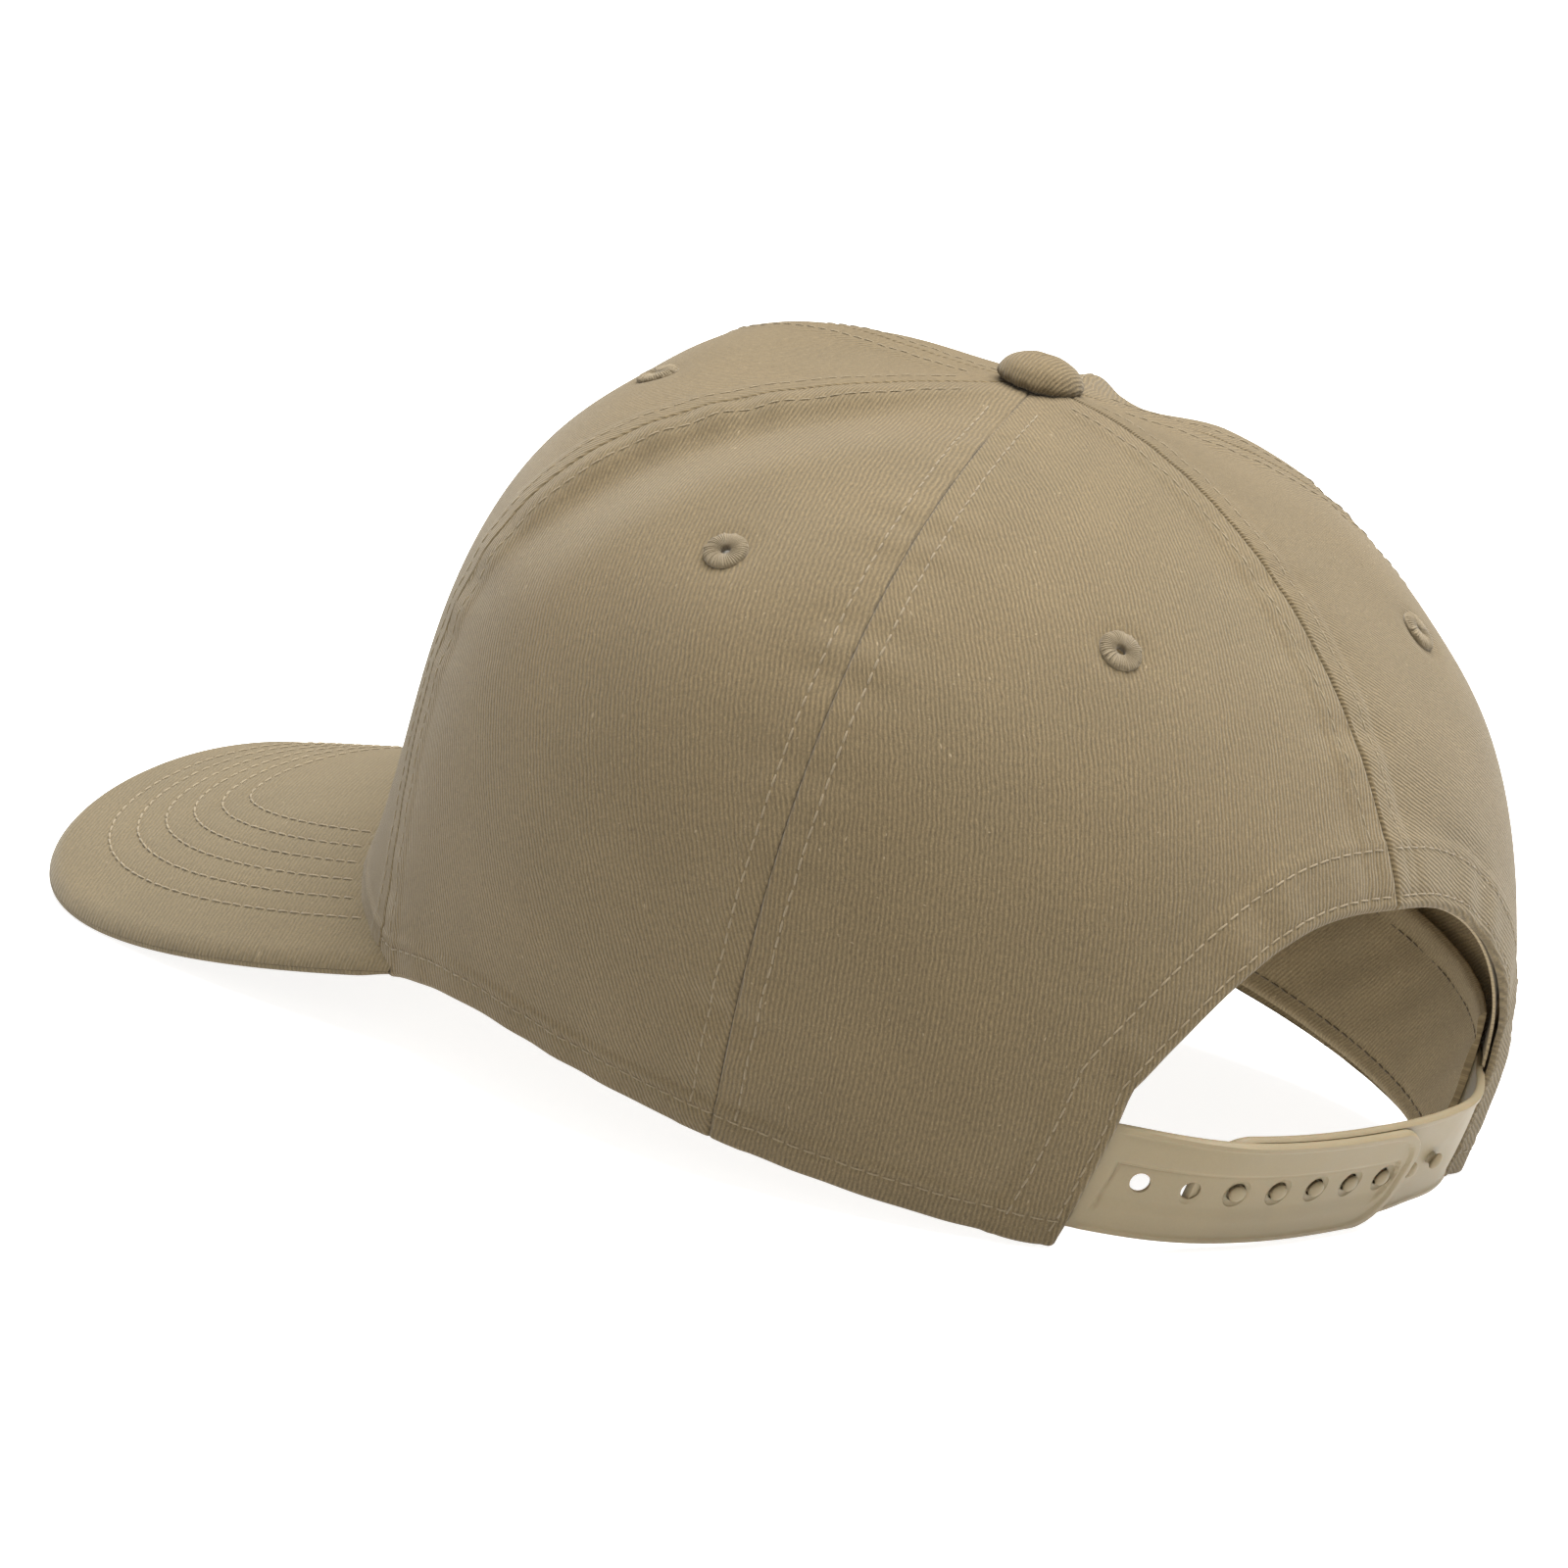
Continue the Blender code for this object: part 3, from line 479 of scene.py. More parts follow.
class Nodes:
    """Short way to write a node tree: each call adds a node and returns an output socket."""

    def __init__(self, name):
        self.material = bpy.data.materials.new(name)
        self.material.use_nodes = True
        self.tree = self.material.node_tree
        self.shader = self.tree.nodes["Principled BSDF"]

    def put(self, socket, value):
        if isinstance(value, bpy.types.NodeSocket):
            self.tree.links.new(value, socket)
        elif isinstance(value, (tuple, list)) and socket.type == "RGBA" and len(value) == 3:
            socket.default_value = (*value, 1)
        else:
            socket.default_value = value

    def node(self, kind, out=0, settings=(), **inputs):
        made = self.tree.nodes.new(kind)
        for key, value in dict(settings).items():
            setattr(made, key, value)
        for key, value in inputs.items():
            self.put(made.inputs[int(key[1:]) if key[0] == "i" and key[1:].isdigit() else key], value)
        return made.outputs[out]

    def cloth(self):
        return self.node("ShaderNodeUVMap", settings={"uv_map": "cloth"})

    def place(self):
        return self.node("ShaderNodeTexCoord", out=3)

    def split(self, vector):
        made = self.tree.nodes.new("ShaderNodeSeparateXYZ")
        self.put(made.inputs[0], vector)
        return made.outputs[0], made.outputs[1]

    def math(self, operation, a, b=0.0, c=0.0):
        return self.node("ShaderNodeMath", settings={"operation": operation}, i0=a, i1=b, i2=c)

    def times(self, a, b):
        return self.math("MULTIPLY", a, b)

    def stripes(self, place, pitch):
        """Soft stripes from 0 to 1, a pitch apart."""
        return self.math("MULTIPLY_ADD", self.math("SINE", self.times(place, 2 * math.pi / pitch)), 0.5, 0.5)

    def noise(self, vector, scale, detail=2.0, rough=0.5):
        return self.node("ShaderNodeTexNoise", Vector=vector, Scale=scale, Detail=detail, Roughness=rough)

    def mapped(self, value, a, b, c=0.0, d=1.0):
        return self.node("ShaderNodeMapRange", i0=value, i1=a, i2=b, i3=c, i4=d)

    def mix(self, share, a, b):
        return self.node("ShaderNodeMix", out=2, settings={"data_type": "RGBA"}, i0=share, i6=a, i7=b)

    def scaled(self, colour, factor):
        return self.node("ShaderNodeVectorMath", settings={"operation": "SCALE"}, i0=colour, Scale=factor)

    def bump(self, height, distance):
        return self.node("ShaderNodeBump", Height=height, Strength=1.0, Distance=distance)

    def finish(self, colour, normal=None, **sockets):
        self.put(self.shader.inputs["Base Color"], colour)
        if normal is not None:
            self.put(self.shader.inputs["Normal"], normal)
        for key, value in sockets.items():
            self.put(self.shader.inputs[key.replace("_", " ")], value)
        return self.material


LINT = 0.8  # share of the lighter colour in a speck of lint


def twill(name, colour, depth=0.16, rib_shade=0.46):
    """Brushed cotton twill: ribs along the cloth's second coordinate, with painted shade in their grooves and
    painted light on their crests, yarn grain, lint and soft shading.
    """
    n = Nodes(name)
    cloth = n.cloth()
    across, along = n.split(cloth)
    wander = n.noise(cloth, 0.06)
    drift = n.times(n.math("SUBTRACT", n.noise(cloth, 0.22), 0.5), 0.9)
    rib = n.stripes(n.math("ADD", across, drift), RIB)
    # Floats of yarn are grains stretched along the rib.
    stretch = n.node("ShaderNodeCombineXYZ", i0=n.times(across, 2.6), i1=along)
    yarn = n.noise(stretch, 1.0, 3.0, 0.65)
    fine = n.noise(cloth, 3.4, 2.0, 0.7)
    shade = n.mapped(wander, 0.3, 0.7, 0.955, 1.045)
    # Painted shade and light: the colour is darkened in the grooves between the ribs and lightened on their
    # crests.
    rib_painted_shading = n.mapped(rib, 0.0, 1.0, 1 - rib_shade * 0.5, 1 + rib_shade * 0.28)
    grain = n.mapped(yarn, 0.25, 0.75, 0.70, 1.28)
    grit = n.mapped(fine, 0.25, 0.75, 0.74, 1.28)
    warmer = tuple(c * f for c, f in zip(colour, (1.03, 0.99, 0.93)))
    tint = n.mix(n.noise(n.place(), 38.0, 3.0), colour, warmer)
    shaded = n.scaled(tint, n.times(n.times(shade, rib_painted_shading), n.times(grain, grit)))
    speck = n.mapped(n.noise(cloth, 0.95, 1.5, 0.6), 0.735, 0.80)
    fleck = n.mapped(n.noise(stretch, 0.55, 1.0, 0.5), 0.74, 0.82)
    light = tuple(min(1.0, c * 1.75 + 0.03) for c in colour)
    dusted = n.mix(n.times(n.math("MAXIMUM", speck, fleck), LINT), shaded, light)
    height = n.math("ADD", n.times(rib, 0.62), n.times(yarn, 0.55))
    height = n.math("ADD", height, n.times(fine, 0.25))
    return n.finish(
        dusted,
        n.bump(height, depth * MM),
        Roughness=n.mapped(yarn, 0.2, 0.8, 0.86, 0.97),
        Specular_IOR_Level=0.15,
        Sheen_Weight=0.13,
        Sheen_Roughness=0.55,
        Sheen_Tint=(1.0, 0.95, 0.84, 1.0),
    )


def thread(name, colour):
    """Spun thread with a little fuzz."""
    n = Nodes(name)
    place = n.place()
    fuzz = n.noise(place, 5200.0, 2.0, 0.7)
    patch = n.noise(place, 260.0)
    shade = n.times(n.mapped(fuzz, 0.3, 0.7, 0.82, 1.16), n.mapped(patch, 0.3, 0.7, 0.93, 1.07))
    bump = n.bump(fuzz, 0.05 * MM)
    return n.finish(n.scaled(colour, shade), bump, Roughness=0.78, Specular_IOR_Level=0.3, Sheen_Weight=0.15)


def plain_weave(name, colour, pitch, depth, gaps=0.35):
    """Open or plain weave with threads both ways across the cloth's coordinates."""
    n = Nodes(name)
    cloth = n.cloth()
    drift = n.times(n.noise(cloth, 0.4), pitch * 0.8)
    weave = n.math("MAXIMUM", *(n.stripes(n.math("ADD", place, drift), pitch) for place in n.split(cloth)))
    fine = n.noise(cloth, 4.0, 2.0, 0.7)
    shade = n.times(n.mapped(weave, 0.1, 0.9, 1 - gaps, 1.04), n.mapped(fine, 0.25, 0.75, 0.9, 1.1))
    bump = n.bump(n.math("ADD", weave, n.times(fine, 0.3)), depth * MM)
    return n.finish(n.scaled(colour, shade), bump, Roughness=0.92, Specular_IOR_Level=0.2, Sheen_Weight=0.1)


def moulded(name, colour):
    """Satin polyethylene: fine flow lines, a little grain and soft light inside."""
    n = Nodes(name)
    place = n.place()
    grain = n.noise(place, 2600.0, 3.0, 0.6)
    cloud = n.noise(place, 140.0, 3.0)
    shade = n.times(n.mapped(cloud, 0.3, 0.7, 0.965, 1.035), n.mapped(grain, 0.3, 0.7, 0.975, 1.025))
    return n.finish(
        n.scaled(colour, shade),
        n.bump(grain, 0.012 * MM),
        Roughness=n.mapped(cloud, 0.3, 0.7, 0.50, 0.60),
        Specular_IOR_Level=0.26,
        Subsurface_Weight=0.10,
        Subsurface_Scale=0.0015,
    )


def metal(name, colour):
    """Bright metal with fine marks."""
    n = Nodes(name)
    grain = n.noise(n.place(), 900.0, 3.0, 0.6)
    rough = n.mapped(grain, 0.3, 0.7, 0.28, 0.45)
    return n.finish(colour, n.bump(grain, 0.01 * MM), Metallic=1.0, Roughness=rough)


TWILL = twill("brushed_twill", (0.098, 0.0735, 0.0395))
# Painted shade: the visor's cloth is the crown's twill made a little darker to suit the light that falls on the
# visor.
VISOR_SHADED_TWILL = twill("visor_twill", (0.091, 0.070, 0.038), depth=0.09, rib_shade=0.24)
BAND_TWILL = twill("band_twill", (0.300, 0.234, 0.136), depth=0.09, rib_shade=0.3)
# Painted light: the crown's inside faces use the same twill made about three times lighter, standing in for the
# light that reaches inside the crown.
LIT_INSIDE_TWILL = twill("inside_twill_painted_light", (0.285, 0.221, 0.126), rib_shade=0.3)
THREAD = thread("sewing_thread", (0.142, 0.109, 0.062))
VISOR_THREAD = thread("visor_thread", (0.160, 0.126, 0.075))
RING_THREAD = thread("eyelet_thread", (0.122, 0.093, 0.052))
TAPE_WEAVE = plain_weave("tape_weave", (0.240, 0.186, 0.108), 0.55, 0.06)
BUCKRAM_WEAVE = plain_weave("buckram_weave", (0.66, 0.64, 0.59), 1.15, 0.16, 0.5)
LABEL_WEAVE = plain_weave("label_weave", (0.74, 0.72, 0.66), 0.32, 0.03, 0.15)
BOARD = plain_weave("board_sheet", (0.78, 0.78, 0.75), 2.5, 0.01, 0.05)
STRAP = moulded("strap_plastic", (0.172, 0.137, 0.080))
STEEL = metal("button_steel", (0.62, 0.60, 0.57))


# ---------------------------------------------------------------- crown panels

FINE = np.concatenate([[0, 0.1, 0.25, 0.45, 0.7, 1.0, 1.35, 1.75], np.arange(2.2, 11.5, 0.45)])
COARSE = 1.3  # mm between the grid's lines away from seams and edges


def spread(length, start=True, end=True):
    """Shares from 0 to 1 of a length in mm, closer together at the ends that are asked for."""
    head = FINE if start else np.array([0.0])
    tail = FINE if end else np.array([0.0])
    room = length - head[-1] - tail[-1]
    middle = np.linspace(head[-1], length - tail[-1], max(2, round(room / COARSE)))[1:-1]
    return np.concatenate([head, middle, length - tail[::-1]]) / length


def run_length(points):
    """Whole length of a line."""
    return np.linalg.norm(np.diff(points, axis=0), axis=1).sum()


# Angle of the ribs from a panel's middle line, towards the growing angle.
GRAIN, BACK_GRAIN = -28.0, {1: -4.0, -1: -56.0}
PANEL_ENDS = {"front": (0, SEAM_FRONT), "side": (SEAM_FRONT, SEAM_BACK), "back": (SEAM_BACK, 180)}


class Panel:
    """One gore of the crown: its seams, its lower edges, its relief and its cloth coordinates."""

    def __init__(self, part, sign):
        self.part, self.sign = part, sign
        self.first, self.last = (angle * sign for angle in PANEL_ENDS[part])
        self.middle = 0.0 if part == "front" else (self.first + self.last) / 2
        run = np.linspace(0, 1, 330)
        self.seams = [wall(a, self.low(np.array([a]))[0] * (1 - run) + run) for a in (self.first, self.last)]
        hem_end = ARCH_FOOT * sign if part == "back" else self.last
        self.hem = wall(np.linspace(self.first, hem_end, 260), 0.0)
        if part == "back":
            leg = np.linspace(ARCH_FOOT, ARCH_LEG, 60)[:-1]
            over = ARCH_LEG + (180 - ARCH_LEG) * np.linspace(0, 1, 200) ** 1.2
            angles = np.concatenate([leg, over]) * sign
            self.arch = wall(angles, arch_t(angles))
        self.levels = np.linspace(0, 1, 400)
        self.lengths = lengths_along(wall(self.middle, self.levels))
        angle, t = EYELETS[part]
        self.eyelet = np.array([angle * sign]), np.array([t])
        self.eye = wall(*self.eyelet)[0]
        self.soft = 0.35 if part == "front" else 1.0
        self.seed = {"front": 10, "side": 20, "back": 30}[part] + (sign > 0)
        self.name = f"{part}_{SIDES[sign]}"

    def low(self, theta):
        return arch_t(theta) if self.part == "back" else np.zeros_like(theta)

    def relief(self, base, theta, t):
        """Height of the cloth over the plain crown: folds at seams and hems, rows, puckers and sag."""
        seams = [nearest(base, line) for line in self.seams]
        hem, hem_run = nearest(base, self.hem)
        high = np.zeros(theta.shape)
        away = np.minimum(seams[0][0], seams[1][0])
        for k, (d, s) in enumerate(seams):
            shared = round(abs((self.first, self.last)[k]))
            flat = PRESSED if shared == round(SEAM_BACK) else 1.0
            high += curl(d, SEAM_CURL) * smooth((1 - t) / 0.06)
            high += flat * fold(d, *SEAM_FOLD) * smooth(d / 0.6)
            high -= stitch_groove(d - SEAM_ROW, s, 0.05 * flat)
            if shared == 180 and self.sign < 0:
                high += fold(d, *FELLED_FOLD) * smooth(d / 0.5)
            near = bell(np.maximum(d - 3, 0), 6.5) * smooth(d / 1.2) * smooth((1 - t) / 0.15)
            high += SEAM_PUCKER * self.soft * wave(s, 100 + shared, 15, 7) * near
        high += curl(hem, HEM_CURL) + fold(hem, *HEM_FOLD) * smooth(hem)
        high -= stitch_groove(hem - HEM_ROW, hem_run, GROOVE)
        high += HEM_WAVE * wave(hem_run, 55, 14, 8) * bell(hem - 3.0, 5.0) * smooth(away / 3)
        if self.part == "side":
            d = seams[0][0]
            hollow = smooth((d - 2.2) / 8.0) * (1 - smooth((d - 10.2) / 18))
            high -= HOLLOW * hollow * smooth((t - 0.42) / 0.22) * (1 - smooth((t - 0.86) / 0.12))
        if self.part == "back":
            arch, arch_run = nearest(base, self.arch)
            high += curl(arch, ARCH_CURL) + fold(arch, *ARCH_FOLD) * smooth(arch)
            for row in ARCH_ROWS:
                high -= stitch_groove(arch - row, arch_run, GROOVE)
            high += ARCH_WAVE * wave(arch_run, 77, 13, 6) * bell(arch - 5.0, 5.5) * smooth(away / 3)
            if self.sign < 0:
                high += LEG_FLARE * smooth(arch / 8) * bell(theta + 137, 10) * (1 - smooth((t - 0.10) / 0.22))
            drape = smooth((arch - 11) / 5) * bell(arch - 18, 12) * smooth(away / 8) * smooth(hem / 8)
            high += DRAPE * wave(arch_run, 301 + self.sign, 46, 24) * drape
        u, v = self.plan(theta, t)
        drift = np.sin(u / 11.0 + self.seed) * np.sin(v / 15.0 + 1.7 * self.seed)
        drift += 0.6 * np.sin(u / 6.5 - v / 19.0 + self.seed)
        high += SAG * self.soft * drift * smooth(away / 12) * smooth(hem / 12) * smooth((1 - t) / 0.2)
        off = np.linalg.norm(base - self.eye, axis=-1)
        return high - EYELET_PULL * bell(off - 3.8, 1.6) * (off < 14)

    def plan(self, theta, t):
        """Millimetres across the panel from its middle line, and up along that line."""
        middle = self.middle + 0 * theta
        across = np.zeros(theta.shape)
        before = wall(middle, t)
        for share in np.linspace(0, 1, 9)[1:]:
            here = wall(middle + (theta - middle) * share, t)
            across += np.linalg.norm(here - before, axis=-1)
            before = here
        return across * np.sign(theta - middle), np.interp(t, self.levels, self.lengths)

    def surface(self, theta, t):
        """Displaced points of the cloth's outer face, and the crown's normals there."""
        base = wall(theta, t)
        normal = slopes(theta, t)[2]
        high = self.relief(base, theta, t)[..., None]
        return base + normal * high, normal, base + normal * np.minimum(high - 0.25, -CLOTH)

    def build(self):
        share = spread(run_length(self.hem))
        if self.part == "back":
            hem = share * (ARCH_FOOT - SEAM_BACK) + SEAM_BACK
            leg = np.linspace(ARCH_FOOT, ARCH_LEG, 15)[1:]
            over = ARCH_LEG + (180 - ARCH_LEG) * spread((180 - ARCH_LEG) * 1.55, start=False)[1:]
            angles = np.concatenate([hem, leg, over]) * self.sign
        else:
            angles = self.first + (self.last - self.first) * share
        low, top = self.low(angles), t_at_radius(angles, CREST_HOLE)
        level = spread(run_length(self.seams[0]), end=False)
        theta = np.broadcast_to(angles, (len(level), len(angles)))
        t = low + (top - low) * level[:, None]
        inset = np.degrees(SEAM_GAP / np.maximum(np.hypot(*wall(theta, t)[..., :2].transpose(2, 0, 1)), 3))
        share = (theta - self.first) / (self.last - self.first)
        theta = theta + self.sign * inset * (1 - 2 * share)
        outer, _, inner = self.surface(theta, t)
        u, v = self.plan(theta, t)
        flat = grained(u, v, BACK_GRAIN[self.sign] if self.part == "back" else GRAIN)
        made = cloth_piece(f"cloth_{self.name}", outer, inner, flat, TWILL, "twill", [f"panel_{self.name}"])
        # The inner faces take the lightened copy of the twill, painted light inside the crown.
        made.data.materials.append(LIT_INSIDE_TWILL)
        count = len(faces_of(*theta.shape))
        index = np.zeros(len(made.data.polygons), np.int32)
        index[count : 2 * count] = 1
        made.data.polygons.foreach_set("material_index", index)
        stretched(made, np.ptp(u), np.ptp(v))
        return made


panels = {(part, sign): Panel(part, sign) for part in ("front", "side", "back") for sign in SIDES}
cloths = {key: panel.build() for key, panel in panels.items()}


# ---------------------------------------------------------------- stitches


# One stitch: shares of its half length, and its height and thickness there.
STITCH_ALONG = np.array([-1.0, -0.8, -0.3, 0.3, 0.8, 1.0])
STITCH_HIGH = np.array([-0.32, -0.04, 0.0, 0.0, -0.04, -0.32])
STITCH_THICK = np.array([0.35, 0.85, 1.0, 1.0, 0.85, 0.35])
STITCH_SIDES = 6


def sew(name, paths, seed, pitch=STITCH, radius=THREAD_RADIUS, lift=0.05, material=THREAD):
    """One piece holding the stitches of several rows; a path is (points, normals)."""
    local = np.random.default_rng(seed)
    angle = np.linspace(0, 2 * np.pi, STITCH_SIDES, endpoint=False)
    tube = tube_faces(len(STITCH_ALONG), STITCH_SIDES)
    stitches = []
    for points, normals in paths:
        length = lengths_along(points)
        tangent = unit(np.gradient(points, axis=0))
        total = max(1, int(length[-1] / pitch))
        step = length[-1] / total
        for k in range(total):
            centre = (k + 0.5) * step + local.uniform(-0.06, 0.06) * step
            at = centre + STITCH_ALONG * step * 0.43 * local.uniform(0.93, 1.03)
            p, n, d = (
                np.stack([np.interp(at, length, column) for column in values.T], -1)
                for values in (points, normals, tangent)
            )
            n = unit(n)
            side = unit(np.cross(n, unit(d)))
            lean = local.uniform(-0.08, 0.08)
            p = p + n * (lift + STITCH_HIGH * (lift + radius) / 0.3)[:, None]
            p = p + side * (STITCH_ALONG * lean)[:, None]
            circle = np.cos(angle)[None, :, None] * side[:, None] + np.sin(angle)[None, :, None] * n[:, None]
            body = p[:, None] + circle * (radius * STITCH_THICK)[:, None, None]
            stitches.append((body.reshape(-1, 3), tube))
    piece(name, *joined(stitches), material, "thread", sharp=80)


def beside_seam(panel, seam, low_gap):
    """Path beside one of a panel's seams, from above the lower edge to below the button."""
    angle = (panel.first, panel.last)[seam]
    way = panel.sign * (1 if seam == 0 else -1)
    line = panel.seams[seam]
    tall = run_length(line)
    bottom = panel.low(np.array([angle]))[0]
    t = bottom + (1 - bottom) * np.linspace(low_gap / tall, 1 - SEAM_ROW_END / tall, 420)
    step = np.linalg.norm(slopes(angle + 0 * t, t)[0], axis=-1)
    theta = angle + way * SEAM_ROW / step
    for _ in range(3):
        off, _ = nearest(wall(theta, t), line)
        theta = angle + (theta - angle) * SEAM_ROW / np.maximum(off, 0.05)
    limit = 0.42 * abs(panel.last - panel.first)
    theta = angle + np.clip(theta - angle, -limit, limit)
    points, normals, _ = panel.surface(theta, t)
    keep = np.concatenate([[True], np.linalg.norm(np.diff(points, axis=0), axis=1) < 3])
    return points[keep], normals[keep]


def topstitch(name, left, right, seed, low_gap=ROW_FROM_HEM):
    """Rows on both sides of a seam shared by two (panel, seam index) pairs."""
    sew(f"topstitch_{name}", [beside_seam(panel, seam, low_gap) for panel, seam in (left, right)], seed)


topstitch("front_centre", (panels["front", 1], 0), (panels["front", -1], 0), 11)
topstitch("back_centre", (panels["back", 1], 1), (panels["back", -1], 1), 12, ROW_FROM_ARCH)
for sign, side in SIDES.items():
    front, middle, back = (panels[part, sign] for part in ("front", "side", "back"))
    topstitch(f"front_side_{side}", (front, 1), (middle, 0), 13 + sign)
    topstitch(f"side_back_{side}", (middle, 1), (back, 0), 17 + sign)


def hem_row(panel):
    """Path above the hem of a side or back panel."""
    last = ARCH_FOOT * panel.sign if panel.part == "back" else panel.last
    theta = np.linspace(panel.first, last, 400)
    t = HEM_ROW / np.linalg.norm(slopes(theta, 0 * theta)[1], axis=-1)
    if panel.part == "back":
        theta, t = theta[:-4], t[:-4]
    return panel.surface(theta, t)[:2]


def arch_row(panel, distance):
    """Path along the arch's edge on one back panel, a distance in from it."""
    angles = np.linspace(ARCH_FOOT + 0.25, 179.6, 500) * panel.sign
    theta, t = step_inside(angles, arch_t(angles), distance)
    keep = (t > 0.012) & (np.abs(theta) < 180 - math.degrees(1.0 / 90)) & (np.abs(theta) > SEAM_BACK)
    return panel.surface(theta[keep], t[keep])[:2]


sew("hem_stitches", [hem_row(panels[part, sign]) for sign in SIDES for part in ("side", "back")], 21)
sew("arch_stitches", [arch_row(panels["back", sign], row) for sign in SIDES for row in ARCH_ROWS], 22)


# ---------------------------------------------------------------- eyelets and button


def eyelet(part, sign):
    """Ring of satin stitches round a hole that is drilled through the cloth."""
    panel = panels[part, sign]
    local = np.random.default_rng(panel.seed)
    point, normal = panel.eye, panel.surface(*panel.eyelet)[1][0]
    stitches, per = 46, 6
    a = np.linspace(0, 2 * np.pi, stitches * per, endpoint=False)
    vary = np.repeat(local.uniform(-1, 1, stitches), per)
    ridge = np.abs(np.sin(a * stitches / 2)) ** 0.7
    back = -1.9 if part == "front" else -1.2
    profile = np.array(
        [
            (EYELET_BORE + 0.15, back),
            (EYELET_BORE, -0.6),
            (EYELET_BORE, 0.0),
            (EYELET_BORE + 0.25, 0.3),
            (1.7, 0.5),
            (2.3, 0.56),
            (2.9, 0.48),
            (3.25, 0.3),
            (3.5, 0.05),
            (EYELET_RADIUS, -0.3),
            (EYELET_RADIUS - 0.1, -0.6),
            (3.1, back - 0.05),
            (2.1, back - 0.35),
        ]
    )
    profile = rounded(np.concatenate([profile, profile[:1]]), 2)[:-1]
    r, z = profile.T
    outside = smooth((z + 0.4) / 0.6)[:, None]
    edge = smooth((r - 2.6) / 1.0)[:, None]
    reach = r[:, None] + outside * edge * (0.14 * ridge + 0.16 * vary) + (1 - edge) * 0.04 * vary
    high = z[:, None] + outside * (0.13 * ridge + 0.05 * vary - 0.08)
    twist = a + 0.05 * (r[:, None] - EYELET_BORE)
    turn = np.stack([reach * np.cos(twist), reach * np.sin(twist), high], -1)
    grid = (point + turn @ basis(normal)).reshape(-1, 3)
    last = (len(profile) - 1) * len(a)
    k = np.arange(len(a))
    ahead = (k + 1) % len(a)
    closing = np.stack([last + k, last + ahead, ahead, k], -1)
    faces = np.concatenate([faces_of(len(profile), len(a), closed=True), closing])
    piece(f"ring_{panel.name}", grid, faces, RING_THREAD, "thread", [f"eyelet_{panel.name}"], sharp=85)
    drill = lathed_solid([(2.0, -6), (2.0, 4)], 32, point, normal)
    cut(cloths[part, sign], piece(f"drill_{panel.name}", *drill, TWILL, "twill"))


for key in panels:
    eyelet(*key)

BUTTON_RADIUS, BUTTON_DOME, BUTTON_GRAIN = 7.4, 5.3, -12.0


def button():
    """Cloth drawn over a domed core, gathered underneath."""
    edge = [(0.02, BUTTON_DOME), (2.4, BUTTON_DOME - 0.12), (4.4, BUTTON_DOME - 0.75), (6.2, 3.5)]
    edge += [(7.2, 2.0), (BUTTON_RADIUS, 1.2), (7.1, 0.45), (6.3, -0.05), (5.2, 0.0)]
    edge += [(3.4, 0.5), (2.2, 0.6), (0.02, 0.6)]
    profile = rounded(edge, 3)
    steps = 96
    grid = lathe(profile, steps, (0, CREST_Y, CROWN_HEIGHT), (0.0, 0, 1))
    a = np.linspace(0, 2 * np.pi, steps, endpoint=False)
    r, z = profile.T
    pleat = smooth((r - 3.5) / 2)[:, None] * smooth((2.2 - z) / 1.6)[:, None]
    out = unit(grid - np.array([0, CREST_Y, CROWN_HEIGHT + 2.0]))
    grid = grid + out * (0.12 * pleat * np.sin(a * 17 + 2 * np.sin(a * 3)))[..., None]
    grid = grid + out * (0.07 * np.sin(2 * a + 1) + 0.04 * np.sin(5 * a))[None, :, None]
    flat = lengths_along(profile)[:, None]
    cloth = grained(flat * np.cos(a), flat * np.sin(a), BUTTON_GRAIN)
    faces = tube_faces(len(profile), steps)
    piece("button_cloth", grid.reshape(-1, 3), faces, TWILL, "twill", ["button_cover"], cloth=cloth, sharp=70)


button()


# ---------------------------------------------------------------- linings inside the crown


def lining(name, theta, t, depth, thick, material, slot, replaces, angle=0.0, wobble=0.0):
    """Strip that lies inside the crown at a depth, with its cloth coordinates in mm."""
    local = np.random.default_rng(3)
    middle = wall(theta, t)
    step_row = np.linalg.norm(np.diff(middle, axis=0), axis=-1)
    step_column = np.linalg.norm(np.diff(middle, axis=1), axis=-1)
    v = np.concatenate([np.zeros((1, theta.shape[1])), np.cumsum(step_row, axis=0)])
    u = np.concatenate([np.zeros((theta.shape[0], 1)), np.cumsum(step_column, axis=1)], axis=1)
    u = u - u[:, u.shape[1] // 2][:, None]
    ripple = wobble * np.sin(u / 7 + local.uniform(0, 6)) * np.sin(v / 9 + local.uniform(0, 6))
    depth = np.broadcast_to(depth, theta.shape) + ripple
    outer, inner = crown(theta, t, depth), crown(theta, t, depth + thick)
    cloth_piece(name, outer, inner, grained(u, v, angle), material, slot, replaces, sharp=60)


def angles_of(first, last, columns, rows):
    """Grid of angles that are the same in every row."""
    return np.broadcast_to(np.linspace(first, last, columns), (rows, columns)).astype(float)


for sign, side in SIDES.items():
    theta = angles_of(0.8 * sign, 60.4 * sign, 70, 90)
    low, top = t_at_height(theta[0], hem_height(theta[0]) + 4.0), t_at_radius(theta[0], 12.0)
    t = low + (top - low) * np.linspace(0, 1, len(theta))[:, None]
    lining(f"stiffener_{side}", theta, t, 1.25, 0.7, BUCKRAM_WEAVE, "buckram", [f"buckram_{side}"], 8.0, 0.05)

BAND_FOOT, BAND_TOP, BAND_DEPTH, BAND, BAND_END = 1.0, 30.0, 2.9, 1.2, 142.6
TAPE_WIDTH, TAPE, TAPE_EASE = 13.0, 0.5, 0.12
OVER_BUCKRAM, OVER_CLOTH = 2.55, 1.65


